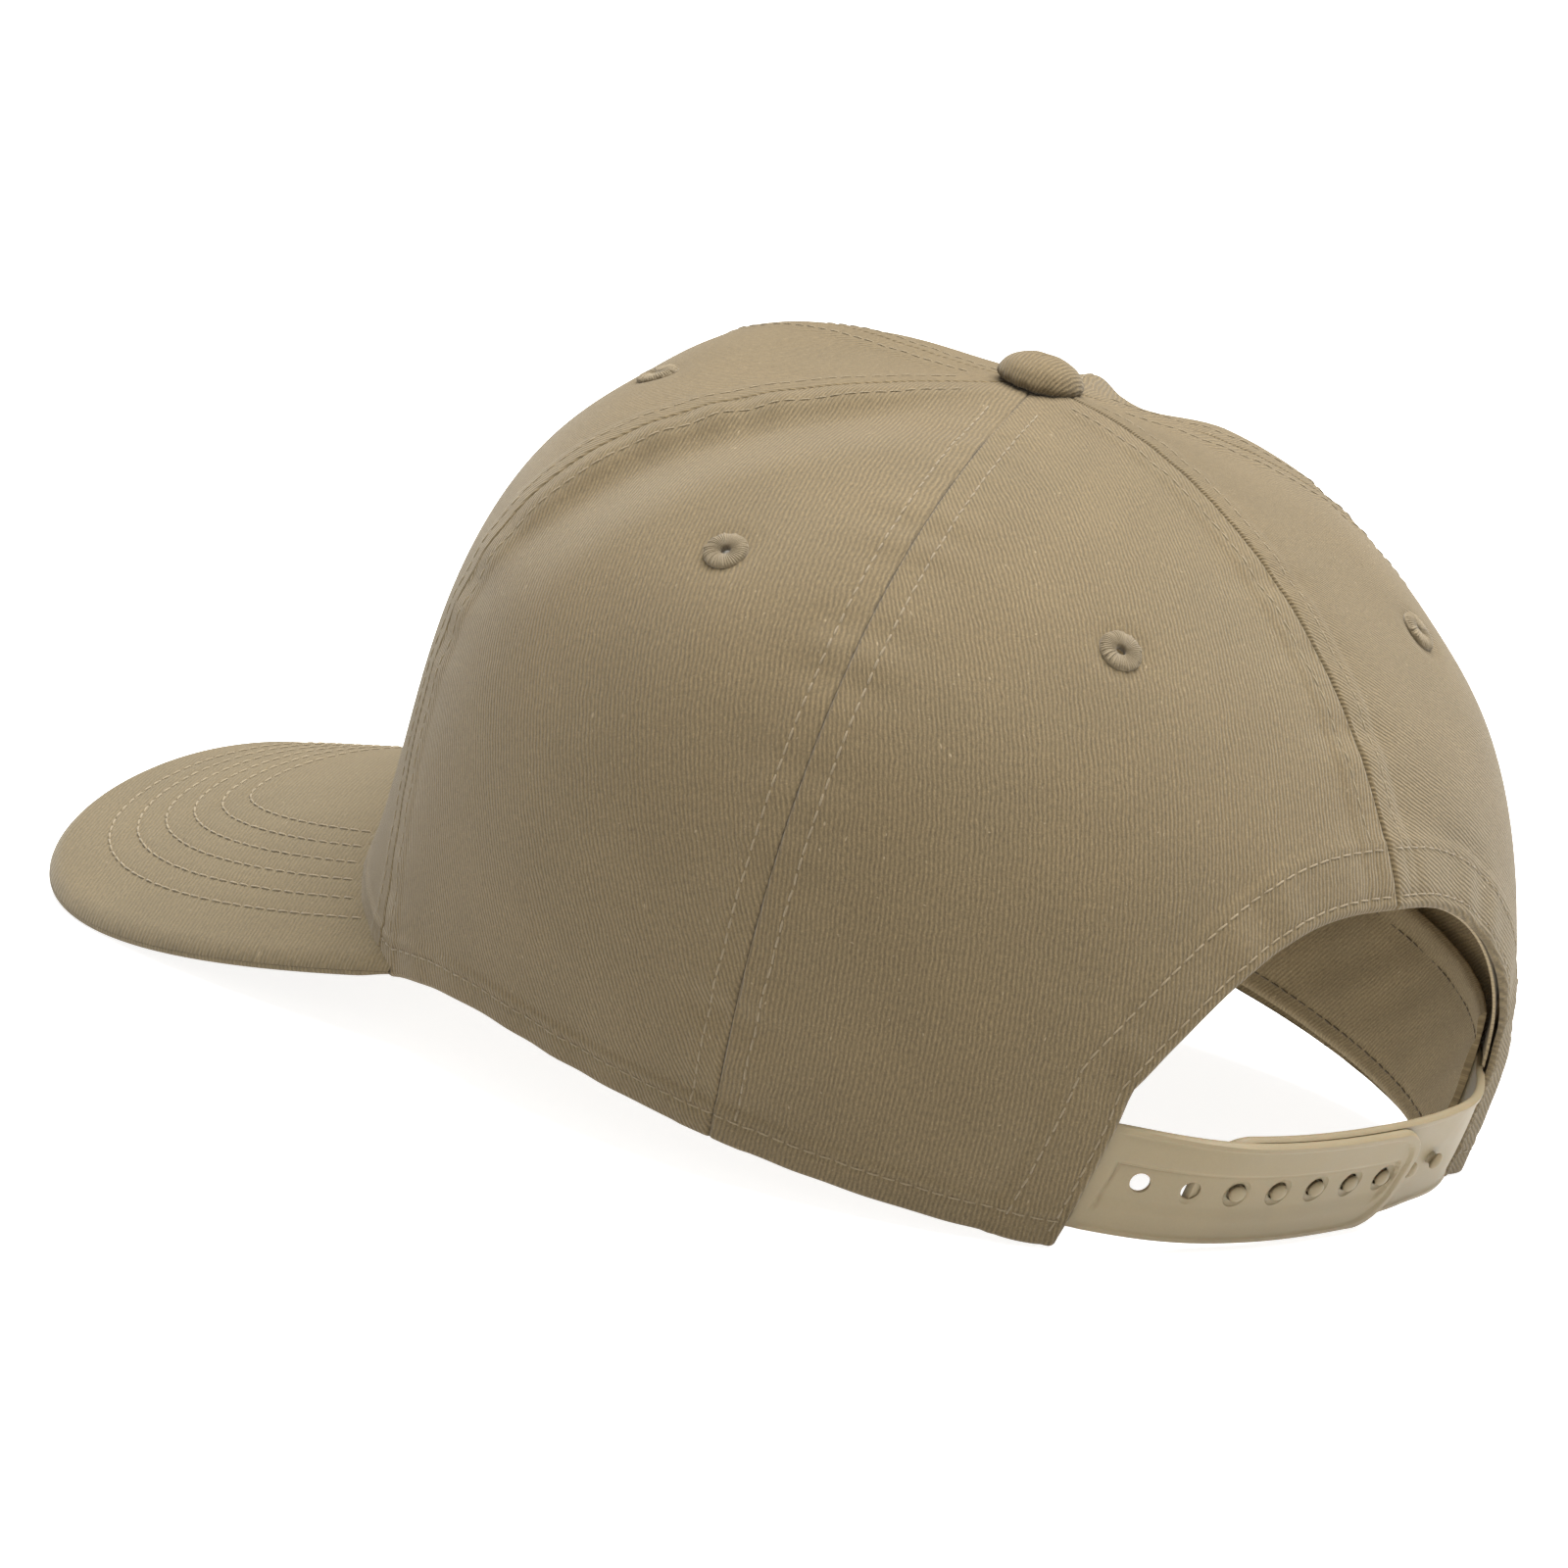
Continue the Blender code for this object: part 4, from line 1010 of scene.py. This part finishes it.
def seam_tape(name, angle, start_t, depth, replaces):
    """Tape over a seam's turnings, with a row of stitches along each side."""
    t = np.linspace(start_t, t_at_radius(np.array([angle]), 4.6)[0], 110)
    p = wall(np.full(len(t), angle), t)
    radius = np.hypot(p[:, 0], p[:, 1] - CREST_Y)
    half = np.minimum(TAPE_WIDTH / 2 / radius, math.radians(22.5) - 0.35 / radius)
    across = np.concatenate([[-1, -0.97, -0.9], np.linspace(-0.8, 0.8, 13), [0.9, 0.97, 1]])
    theta = angle + np.degrees(half)[:, None] * across
    grid_t = np.broadcast_to(t[:, None], theta.shape)
    hump = -0.22 * np.cos(across * np.pi * 2.0) - 0.12 * np.abs(across) ** 8
    depth = depth + TAPE_EASE
    lining(name, theta, grid_t, depth + hump * 0.5, TAPE, TAPE_WEAVE, "seam_tape", [replaces], 45, 0.06)
    rows = []
    for share in (-0.66, 0.66):
        at = angle + np.degrees(half) * share
        rows.append((crown(at, t, depth + TAPE)[:-8], -slopes(at, t)[2][:-8]))
    sew(f"{name}_stitches", rows, int(abs(angle)) + 31)


def band_clear(angle):
    """Where a tape starts, just above the sweatband."""
    return t_at_height(np.array([angle]), BAND_TOP + 2.2)[0]


seam_tape("tape_front", 0.0, band_clear(0.0), OVER_BUCKRAM, "tape_front_centre")
back_start = step_inside(np.array([180.0]), np.array([ARCH_TOP_T]), 10.8)[1][0]
seam_tape("tape_back", 180.0, back_start, OVER_CLOTH, "tape_back_centre")
for sign, side in SIDES.items():
    for name, turn, depth in (("front_side", SEAM_FRONT, OVER_BUCKRAM), ("side_back", SEAM_BACK, OVER_CLOTH)):
        angle = sign * turn
        seam_tape(f"tape_{name}_of_{side}", angle, band_clear(angle), depth, f"tape_{name}_{side}")


def sweatband():
    """Folded twill band with a soft roll, gathered a little where it is sewn to the hem."""
    theta = angles_of(-BAND_END, BAND_END, 420, 26)
    low = hem_height(theta[0]) + BAND_FOOT
    g = 0.5 - 0.5 * np.cos(np.linspace(0, np.pi, len(theta)))
    t = np.array([t_at_height(theta[0], low + (BAND_TOP - low) * share) for share in g])
    run = lengths_along(wall(theta, t)[0])
    up = g[:, None] * (BAND_TOP - low)
    puff = 0.45 * np.sin(np.pi * np.clip((up - 3) / 22, 0, 1))
    puff += 0.25 * np.sin(np.pi * np.clip((up - 25) / 5, 0, 1))
    rows_at = -0.3 * bell(up - 3.0, 0.8) - 0.3 * bell(up - (BAND_TOP - low - 5), 0.8)
    crease = 0.5 * wave(run[None] + 1.1 * up, 91, 24, 11) * np.sin(np.pi * g)[:, None]
    thick = BAND - 0.25 + puff + rows_at + crease * 0.8
    edge = np.minimum(g, 1 - g)[:, None] * 30
    thick = thick * np.sqrt(np.clip(edge / 0.8, 0.1, 1))
    outer, inner = crown(theta, t, BAND_DEPTH + 0.05), crown(theta, t, BAND_DEPTH + 0.05 + thick)
    flat = grained(np.broadcast_to(run, theta.shape), up, GRAIN)
    made = cloth_piece("band", outer, inner, flat, BAND_TWILL, "sweatband", ["sweatband"], sharp=75)
    stretched(made, run[-1], BAND_TOP - BAND_FOOT)
    paths = []
    for level in (low + 3.0, BAND_TOP - 5.0):
        row_t = t_at_height(theta[0], level)
        paths.append((crown(theta[0], row_t, BAND_DEPTH + BAND - 0.42), -slopes(theta[0], row_t)[2]))
    sew("band_stitches", paths, 41)


sweatband()


def facing():
    """Turned facing behind the arch's edge."""
    run = 180 + (180 - ARCH_LEG + 0.7) * np.linspace(-1, 1, 240)
    inset = np.concatenate([[0.35, 0.6, 1.0, 1.6], np.linspace(2.2, 9.4, 14), [9.8, 10.0]])
    theta, t = np.array([step_inside(run, arch_t(run), d) for d in inset]).transpose(1, 0, 2)
    lining("facing", theta, t, 1.55, 0.5, TAPE_WEAVE, "seam_tape", ["arch_facing"], 30, 0.06)


facing()


def label():
    """Plain woven label sewn to the band at its two ends."""
    theta = angles_of(118, 134, 30, 24)
    rows, columns = theta.shape
    t = np.array([t_at_height(theta[0], z) for z in np.linspace(6.0, 24.0, rows)])
    across, up = (np.sin(np.pi * np.linspace(0, 1, count)) for count in (columns, rows))
    depth = BAND_DEPTH + BAND + 0.75 + 0.35 * across * up[:, None]
    lining("blank_label", theta, t, depth, 0.35, LABEL_WEAVE, "label", ["size_label"])
    paths = []
    for angle in (118.7, 133.3):
        line = np.full(40, angle)
        row_t = t_at_height(line, np.linspace(6.8, 23.2, 40))
        paths.append((crown(line, row_t, BAND_DEPTH + BAND + 1.1), -slopes(line, row_t)[2]))
    sew("label_stitches", paths, 43, pitch=2.0, radius=0.14)


label()


# ---------------------------------------------------------------- visor


def outline(share):
    """Plan point of the visor's edge and the direction into the visor, share from -1 (right) to 1 (left)."""
    u = 1 - np.abs(share)
    start, end = np.array([CORNER_X, CORNER_Y]), np.array([0, TIP_Y])
    a = start + [OUTLINE_OUT, -OUTLINE_FORWARD]
    b = np.array([TIP_HALF, TIP_Y])
    v = u[:, None]
    p = (1 - v) ** 3 * start + 3 * (1 - v) ** 2 * v * a + 3 * (1 - v) * v * v * b + v**3 * end
    d = unit(3 * (1 - v) ** 2 * (a - start) + 6 * (1 - v) * v * (b - a) + 3 * v * v * (end - b))
    into = np.column_stack([d[:, 1], -d[:, 0]])
    flip = np.where(share < 0, -1, 1)[:, None] * [1, 0] + [0, 1]
    return p * flip, into * flip


REAR_GAP, VISOR_INNER = 0.02, VISOR_ROWS[-1] + 3.5
VISOR_STITCH, VISOR_GRAIN = 2.9, 62.0


def plan_angle(p):
    """Angle of a plan point from the front, seen from the middle."""
    return np.degrees(np.arctan2(p[:, 0], -p[:, 1]))


def rim_radius(angle):
    """Distance from the middle to the front half of the hem, at a plan angle."""
    line = np.column_stack(rim(np.linspace(-90, 90, 1441)))
    return np.interp(angle, plan_angle(line), np.hypot(*line.T))


def visor_rows():
    """Lines inwards from the edge: start, direction, length, end, and the point where the cover's rear lies."""
    share = np.sin(np.linspace(-1, 1, 321) * np.pi / 2)
    edge, into = outline(share)
    low, high = np.zeros(len(share)), np.full(len(share), 80.0)
    for _ in range(40):
        middle = (low + high) / 2
        p = edge + into * middle[:, None]
        free = np.hypot(*p.T) > rim_radius(plan_angle(p)) + REAR_GAP
        low, high = np.where(free, middle, low), np.where(free, high, middle)
    depth = np.minimum(low, VISOR_INNER)
    near = edge + into * depth[:, None]
    full = low >= VISOR_INNER
    angle = plan_angle(near)
    first, last = np.flatnonzero(full)[[0, -1]]
    angle[first : last + 1] = np.linspace(angle[first], angle[last], last - first + 1)
    radius = rim_radius(angle) + REAR_GAP
    a = np.radians(angle)
    rear = np.column_stack([np.sin(a) * radius, -np.cos(a) * radius])
    return edge, into, depth, near, np.where(full[:, None], rear, near)


VISOR_EDGE, VISOR_INTO, VISOR_DEPTH, VISOR_NEAR, VISOR_REAR = visor_rows()


def visor_levels():
    """Insets of the grid's rows: close together over the turned edge and over each row of stitches."""
    levels = [0.0, 0.08, 0.25, 0.5, 0.85, 1.3, LIP]
    levels += list(np.linspace(2.4, VISOR_ROWS[0] - 1.4, 7))
    for row in VISOR_ROWS:
        levels += [row + x for x in (-0.95, -0.6, -0.3, 0, 0.3, 0.6, 0.95, 1.6, 2.25, 2.9)]
    levels = sorted(x for x in levels if x < VISOR_INNER)
    return np.array(levels + [VISOR_INNER])


def visor_height(inset, run, side):
    """Height of the cover's outer face above the bent middle surface."""
    bulge = np.sqrt(1 - np.clip(1 - inset / LIP, 0, 1) ** 2)
    high = 0.03 + (VISOR_HALF - 0.03) * bulge
    for k, row in enumerate(VISOR_ROWS):
        high = high - 0.13 * bell(inset - row, 0.8) * (0.85 + 0.15 * np.cos(2 * np.pi * run / VISOR_STITCH))
        high = high + 0.05 * np.sin(run / 5.0 + k * 2.1) * bell(inset - row - 2.2, 1.4)
    ends = smooth(np.minimum(run, run.max() - run) / 7.0)
    return side * high * (0.64 + 0.36 * ends)


def visor_cover(name, side, replaces):
    """Cover of one face of the visor, with its rows of stitches; side is 1 above and -1 below."""
    inset = np.minimum(visor_levels()[:, None], VISOR_DEPTH[None])
    plan = VISOR_EDGE[None] + VISOR_INTO[None] * inset[..., None]
    rear_share = np.linspace(0, 1, 26)[1:, None, None]
    back = VISOR_NEAR[None] + (VISOR_REAR - VISOR_NEAR)[None] * rear_share
    plan = np.concatenate([plan, back])
    depth = np.concatenate([inset, np.broadcast_to(VISOR_DEPTH + 40 * rear_share[..., 0], back.shape[:2])])
    runs = np.broadcast_to(lengths_along(VISOR_EDGE), depth.shape)
    surface = visor_surface(plan[..., 0], plan[..., 1]) + VISOR_SHIFT
    out = surface + visor_height(depth, runs, side)
    thick = VISOR_COVER * (0.075 + 0.925 * np.sqrt(np.clip(depth / LIP, 0, 1)))
    inside = surface + side * np.maximum(0.015, np.abs(visor_height(depth, runs, side)) - thick)
    outer = np.concatenate([plan, out[..., None]], -1)
    inner = np.concatenate([plan, inside[..., None]], -1)
    u, v = plan[..., 0], plan[..., 1]
    flat = grained(u, v, VISOR_GRAIN * side)
    options = {"merge": 0.02, "sharp": 60}
    # The visor's covers take the darkened copy of the twill, painted shade.
    made = cloth_piece(name, outer, inner, flat, VISOR_SHADED_TWILL, "visor_twill", [replaces], **options)
    stretched(made, np.ptp(u), np.ptp(v))
    paths = []
    for row in VISOR_ROWS:
        free = VISOR_DEPTH > row + 0.8
        p = VISOR_EDGE[free] + VISOR_INTO[free] * row
        z = visor_surface(p[:, 0], p[:, 1]) + VISOR_SHIFT + side * (VISOR_HALF - 0.09)
        points = np.column_stack([p, z])
        slope = np.column_stack([2 * VISOR_ARCH * p[:, 0], np.full(len(p), -VISOR_DROOP), np.ones(len(p))])
        paths.append((points, unit(slope) * side))
    sew(f"{name}_stitches", paths, 51 + side, VISOR_STITCH, 0.20, 0.10, VISOR_THREAD)


visor_cover("visor_top", 1, "visor_cover_top")
visor_cover("visor_bottom", -1, "visor_cover_bottom")


# ---------------------------------------------------------------- snap strap

path_angle = np.linspace(90, 180, 721)
path_x, path_y = rim(path_angle)
tangent = unit(np.gradient(np.column_stack([path_x, path_y]), axis=0))
OUTWARD = np.column_stack([tangent[:, 1], -tangent[:, 0]])
sink = STRAP_SINK + STRAP_FLAT * smooth((path_angle - ARCH_FOOT) / (180 - ARCH_FOOT))
PATH = np.column_stack([path_x, path_y]) - OUTWARD * sink[:, None]
PATH_S = lengths_along(PATH[::-1])[::-1]
FOOT_S = np.interp(ARCH_FOOT, path_angle, PATH_S)


def strap_point(s, h, d):
    """Point of the strap: s along it from the back centre to +X, h up its width, d out of its outer face."""
    s, h, d = np.broadcast_arrays(*(np.asarray(v, float) for v in (s, h, d)))
    columns = (*PATH.T, *OUTWARD.T)
    px, py, nx, ny = (np.interp(np.abs(s), PATH_S[::-1], column[::-1]) for column in columns)
    flip = np.where(s < 0, -1, 1)
    run = d * math.cos(STRAP_LEAN) + h * math.sin(STRAP_LEAN)
    z = h * math.cos(STRAP_LEAN) - d * math.sin(STRAP_LEAN)
    return np.stack([(px + nx * run) * flip, py + ny * run, z], axis=-1)


def hinge_s(h):
    """Where the strap leaves the cloth, at a height of its width."""
    return FOOT_S - HINGE_OUT - HINGE_SLOPE * h


def strap_layer(s):
    """Depth of the peg half below the hole half, s measured towards its own root."""
    return -PEG_LAYER * (1 - smooth((s - 24) / 22))


ROOT, TAB_DEPTH = 13.0, 1.65  # length of strap sewn in behind the arch's leg, and its depth there


def strap_half(name, sign, end, layer, replaces, field):
    """Moulded strip with a raised edge all round its free length and a rounded end."""
    half, middle = STRAP_WIDTH / 2, STRAP_LOW + STRAP_WIDTH / 2
    root_s = hinge_s(middle) + ROOT
    tips = END_RADIUS * (1 - np.cos(np.linspace(0, np.pi / 2, 26)))
    s = np.concatenate([np.linspace(root_s, end + END_RADIUS, 270)[:-1], (end + tips)[::-1]])
    inner = np.array([0, 0.12, 0.3, 0.55, 0.8, 1.05, 1.3, 1.55, 1.8, 2.2, 2.8])
    wide = np.concatenate([inner, np.linspace(3.2, 2 * half - 3.2, 60), (2 * half - inner)[::-1]])
    back_off = np.maximum(0.0, END_RADIUS - (s - end))
    reach = half - END_RADIUS + np.sqrt(np.maximum(0.0, END_RADIUS**2 - back_off**2))
    h = middle + (wide[None] - half) * (reach / half)[:, None]
    slant = s[:, None] - HINGE_SLOPE * (h - middle) * smooth((s - FOOT_S + 45) / 40)[:, None]
    edge = reach[:, None] - np.abs(h - middle)
    from_end = s[:, None] - end
    edge = np.minimum(edge, np.where(from_end < END_RADIUS, edge_of(from_end, h - middle, half), 99))
    sewn = slant - hinge_s(h)  # above zero where the strip lies between the cloths
    free = 1 - smooth((sewn + 2.5) / 2.5)
    rounding = smooth((END_RADIUS + 3 - (slant - end)) / 7)
    bead_width = 1 - smooth((edge - 1.0 - 0.7 * rounding) / 0.45)
    bead = (0.36 + 0.16 * rounding) * smooth(edge / 0.35) * bead_width * free
    round_off = 0.42 * (1 - np.sqrt(1 - np.clip(1 - edge / 0.45, 0, 1) ** 2))
    outer = layer(slant) - round_off + bead - 0.03
    if field:
        first = FIELD_FIRST + 0.25 * (17 - h)
        inside = smooth((first - slant) / 0.35) * smooth((slant - FIELD_LAST + 0.3) / 0.4)
        corner = np.hypot(np.minimum(slant - FIELD_ROUND_AT, 0), h - HOLE_LINE)
        rounded_end = np.where(slant < FIELD_ROUND_AT, smooth((FIELD_ROUND - corner) / 0.35), 1)
        band = smooth((FIELD_TOP - h) / 0.3) * smooth((h - FIELD_LOW) / 3.0)
        groove = 1.6 * bell(slant - first, 0.46) * smooth((17.0 - h) / 0.4) * smooth((h - 7.0) / 1.2)
        groove = np.maximum(groove, bell(h - 16.7, 0.34) * inside * rounded_end)
        outer = outer - FIELD_DEEP * inside * band * rounded_end - FIELD_GROOVE * groove
    inner_face = layer(slant) - STRAP_THICK + round_off
    z = h * math.cos(STRAP_LEAN)
    foot = ARCH_FOOT + (ARCH_LEG - ARCH_FOOT) * t_at_height(np.full(h.shape, ARCH_FOOT), z) / ARCH_LEG_T
    theta = sign * (foot + (HINGE_OUT - 0.6 - np.maximum(sewn, -22)) * np.degrees(1 / np.hypot(*rim(foot))))
    level = t_at_height(theta, z)
    share = smooth((sewn + 24) / 24)[..., None]
    top = strap_point(slant * sign, h, outer) * (1 - share) + crown(theta, level, TAB_DEPTH - outer) * share
    bottom = strap_point(slant * sign, h, inner_face) * (1 - share)
    bottom += crown(theta, level, TAB_DEPTH - inner_face) * share
    points, faces = shell(top, bottom)
    return piece(name, points, faces, STRAP, "strap", replaces, body=None, sharp=STRAP_SHARP)


def edge_of(along, across, half):
    """Distance from the rounded end's outline."""
    flat = half - END_RADIUS
    corner = np.hypot(END_RADIUS - along, np.maximum(np.abs(across) - flat, 0))
    return END_RADIUS - corner


def turned_on_strap(profile, steps, s, depth=0.0):
    """Turned solid square to the strap, on the line of its holes."""
    normal = unit(strap_point(s, HOLE_LINE, 1) - strap_point(s, HOLE_LINE, 0))
    return lathed_solid(profile, steps, strap_point(s, HOLE_LINE, depth), normal)


def cut_strap(obj, solids, operation):
    """Cuts solids from a strap half, or joins them to it."""
    cut(obj, piece(f"{obj.name}_tools", *joined(solids), STRAP, "strap", body=None), operation)
    obj.data.shade_smooth()
    obj.data.set_sharp_from_angle(angle=math.radians(STRAP_SHARP))


holes = strap_half("strap_with_holes", 1, HOLE_END, lambda s: s * 0, ["strap_holes", "strap_tab_left"], True)
funnel = [(HOLE_RADIUS - 0.6, -4), (HOLE_RADIUS - 0.6, -1.05), (HOLE_RADIUS - 0.35, -0.92)]
funnel += [(HOLE_RADIUS + 0.2, -0.8), (HOLE_RADIUS + 0.42, -0.5), (HOLE_RADIUS + 0.5, 3)]
places = [HOLE_SIX + (6 - k) * PITCH for k in range(1, HOLES + 1)]
cut_strap(holes, [turned_on_strap(funnel, 40, s) for s in places], "DIFFERENCE")

pegs = strap_half("strap_with_pegs", -1, PEG_END, strap_layer, ["strap_pegs", "strap_tab_right"], False)
knob = [(0.02, -0.7), (1.4, -0.7), (1.2, -0.1), (1.05, 0.2), (1.05, 0.6), (1.35, 0.8), (1.52, 1.05)]
knob = rounded(knob + [(1.46, 1.4), (1.12, 1.75), (0.6, 1.97), (0.02, 2.03)], 2)
places = [HOLE_SIX + (6 - k) * PITCH for k in range(FIRST_PEG, FIRST_PEG + PEGS)]
cut_strap(pegs, [turned_on_strap(knob, 32, s, float(strap_layer(-s))) for s in places], "UNION")

for obj, sign, body in ((holes, 1, "hole_half"), (pegs, -1, "peg_half")):
    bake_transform(obj)


# ---------------------------------------------------------------- finish of the hidden CAD pieces

for name, material in (("visor_board", BOARD), ("button_core", STEEL), ("button_washer", STEEL)):
    node = frame["nodes"][name]
    node.data.materials.clear()
    node.data.materials.append(material)

# ---------------------------------------------------------------- floor, light and camera


def studio():
    """Pale floor, soft light from above and plain white view settings."""
    centre = (Vector(cad_box[0]) + Vector(cad_box[1])) / 2
    bm = bmesh.new()
    bmesh.ops.create_circle(bm, cap_ends=True, segments=96, radius=9.0)
    mesh = bpy.data.meshes.new("floor")
    bm.to_mesh(mesh)
    bm.free()
    floor = bpy.data.objects.new("floor", mesh)
    bpy.context.scene.collection.objects.link(floor)
    floor.location = (0, 0, cad_box[0][2] - 0.0002)
    n = Nodes("floor_paper")
    paper = n.mix(n.noise(n.place(), 9.0), (0.50, 0.50, 0.495), (0.52, 0.52, 0.515))
    glow = n.finish(paper, Roughness=0.9, Emission_Color=(1.0, 1.0, 1.0), Emission_Strength=0.86)
    mesh.materials.append(glow)

    world_light = bpy.data.worlds.new("studio")
    world_light.use_nodes = True
    background = world_light.node_tree.nodes["Background"]
    background.inputs["Color"].default_value = (1.0, 0.955, 0.87, 1)
    background.inputs["Strength"].default_value = 0.35
    bpy.context.scene.world = world_light

    def lamp(name, place, size, power):
        """Round lamp aimed at the middle of the object."""
        data = bpy.data.lights.new(name, "AREA")
        data.shape, data.size, data.energy = "DISK", size, power
        obj = bpy.data.objects.new(name, data)
        bpy.context.scene.collection.objects.link(obj)
        obj.location = centre + Vector(place)
        obj.rotation_mode = "QUATERNION"
        obj.rotation_quaternion = (-Vector(place)).to_track_quat("-Z", "Y")

    lamp("key", (-0.14, 0.16, 1.75), 2.3, 158)
    lamp("fill", (1.5, 1.1, 0.75), 1.2, 7)
    view = bpy.context.scene.view_settings
    view.view_transform, view.look, view.exposure, view.gamma = "Standard", "None", 0.0, 1.0


CAMERA_AZIMUTH, CAMERA_ELEVATION, CAMERA_ROLL = 127.93, 16.93, 15.54
CAMERA_DISTANCE, CAMERA_AIM, CAMERA_LENS = 1098.2, (-33.71, -17.02), 150.8
AIM_HEIGHT = 60.0


def camera():
    """Camera at the photograph's viewing angle, given in the wearing frame."""
    a, e, roll = (math.radians(x) for x in (CAMERA_AZIMUTH, CAMERA_ELEVATION, CAMERA_ROLL))
    right = np.array([math.cos(a), math.sin(a), 0])
    back = np.array([math.sin(a) * math.cos(e), -math.cos(a) * math.cos(e), math.sin(e)])
    up = np.cross(back, right)
    x = right * math.cos(roll) + up * math.sin(roll)
    y = -right * math.sin(roll) + up * math.cos(roll)
    place = np.array([0, 0, AIM_HEIGHT]) + CAMERA_DISTANCE * back + CAMERA_AIM[0] * x + CAMERA_AIM[1] * y
    data = bpy.data.cameras.new("camera")
    data.lens, data.sensor_width = CAMERA_LENS, 36.0
    data.clip_start, data.clip_end = 0.05, 50.0
    obj = bpy.data.objects.new("camera", data)
    bpy.context.scene.collection.objects.link(obj)
    turn = Matrix(np.column_stack([v @ AXES for v in (x, y, back)]).tolist())
    obj.matrix_world = Matrix.Translation(Vector(world(place))) @ turn.to_4x4()
    bpy.context.scene.camera = obj


studio()
camera()
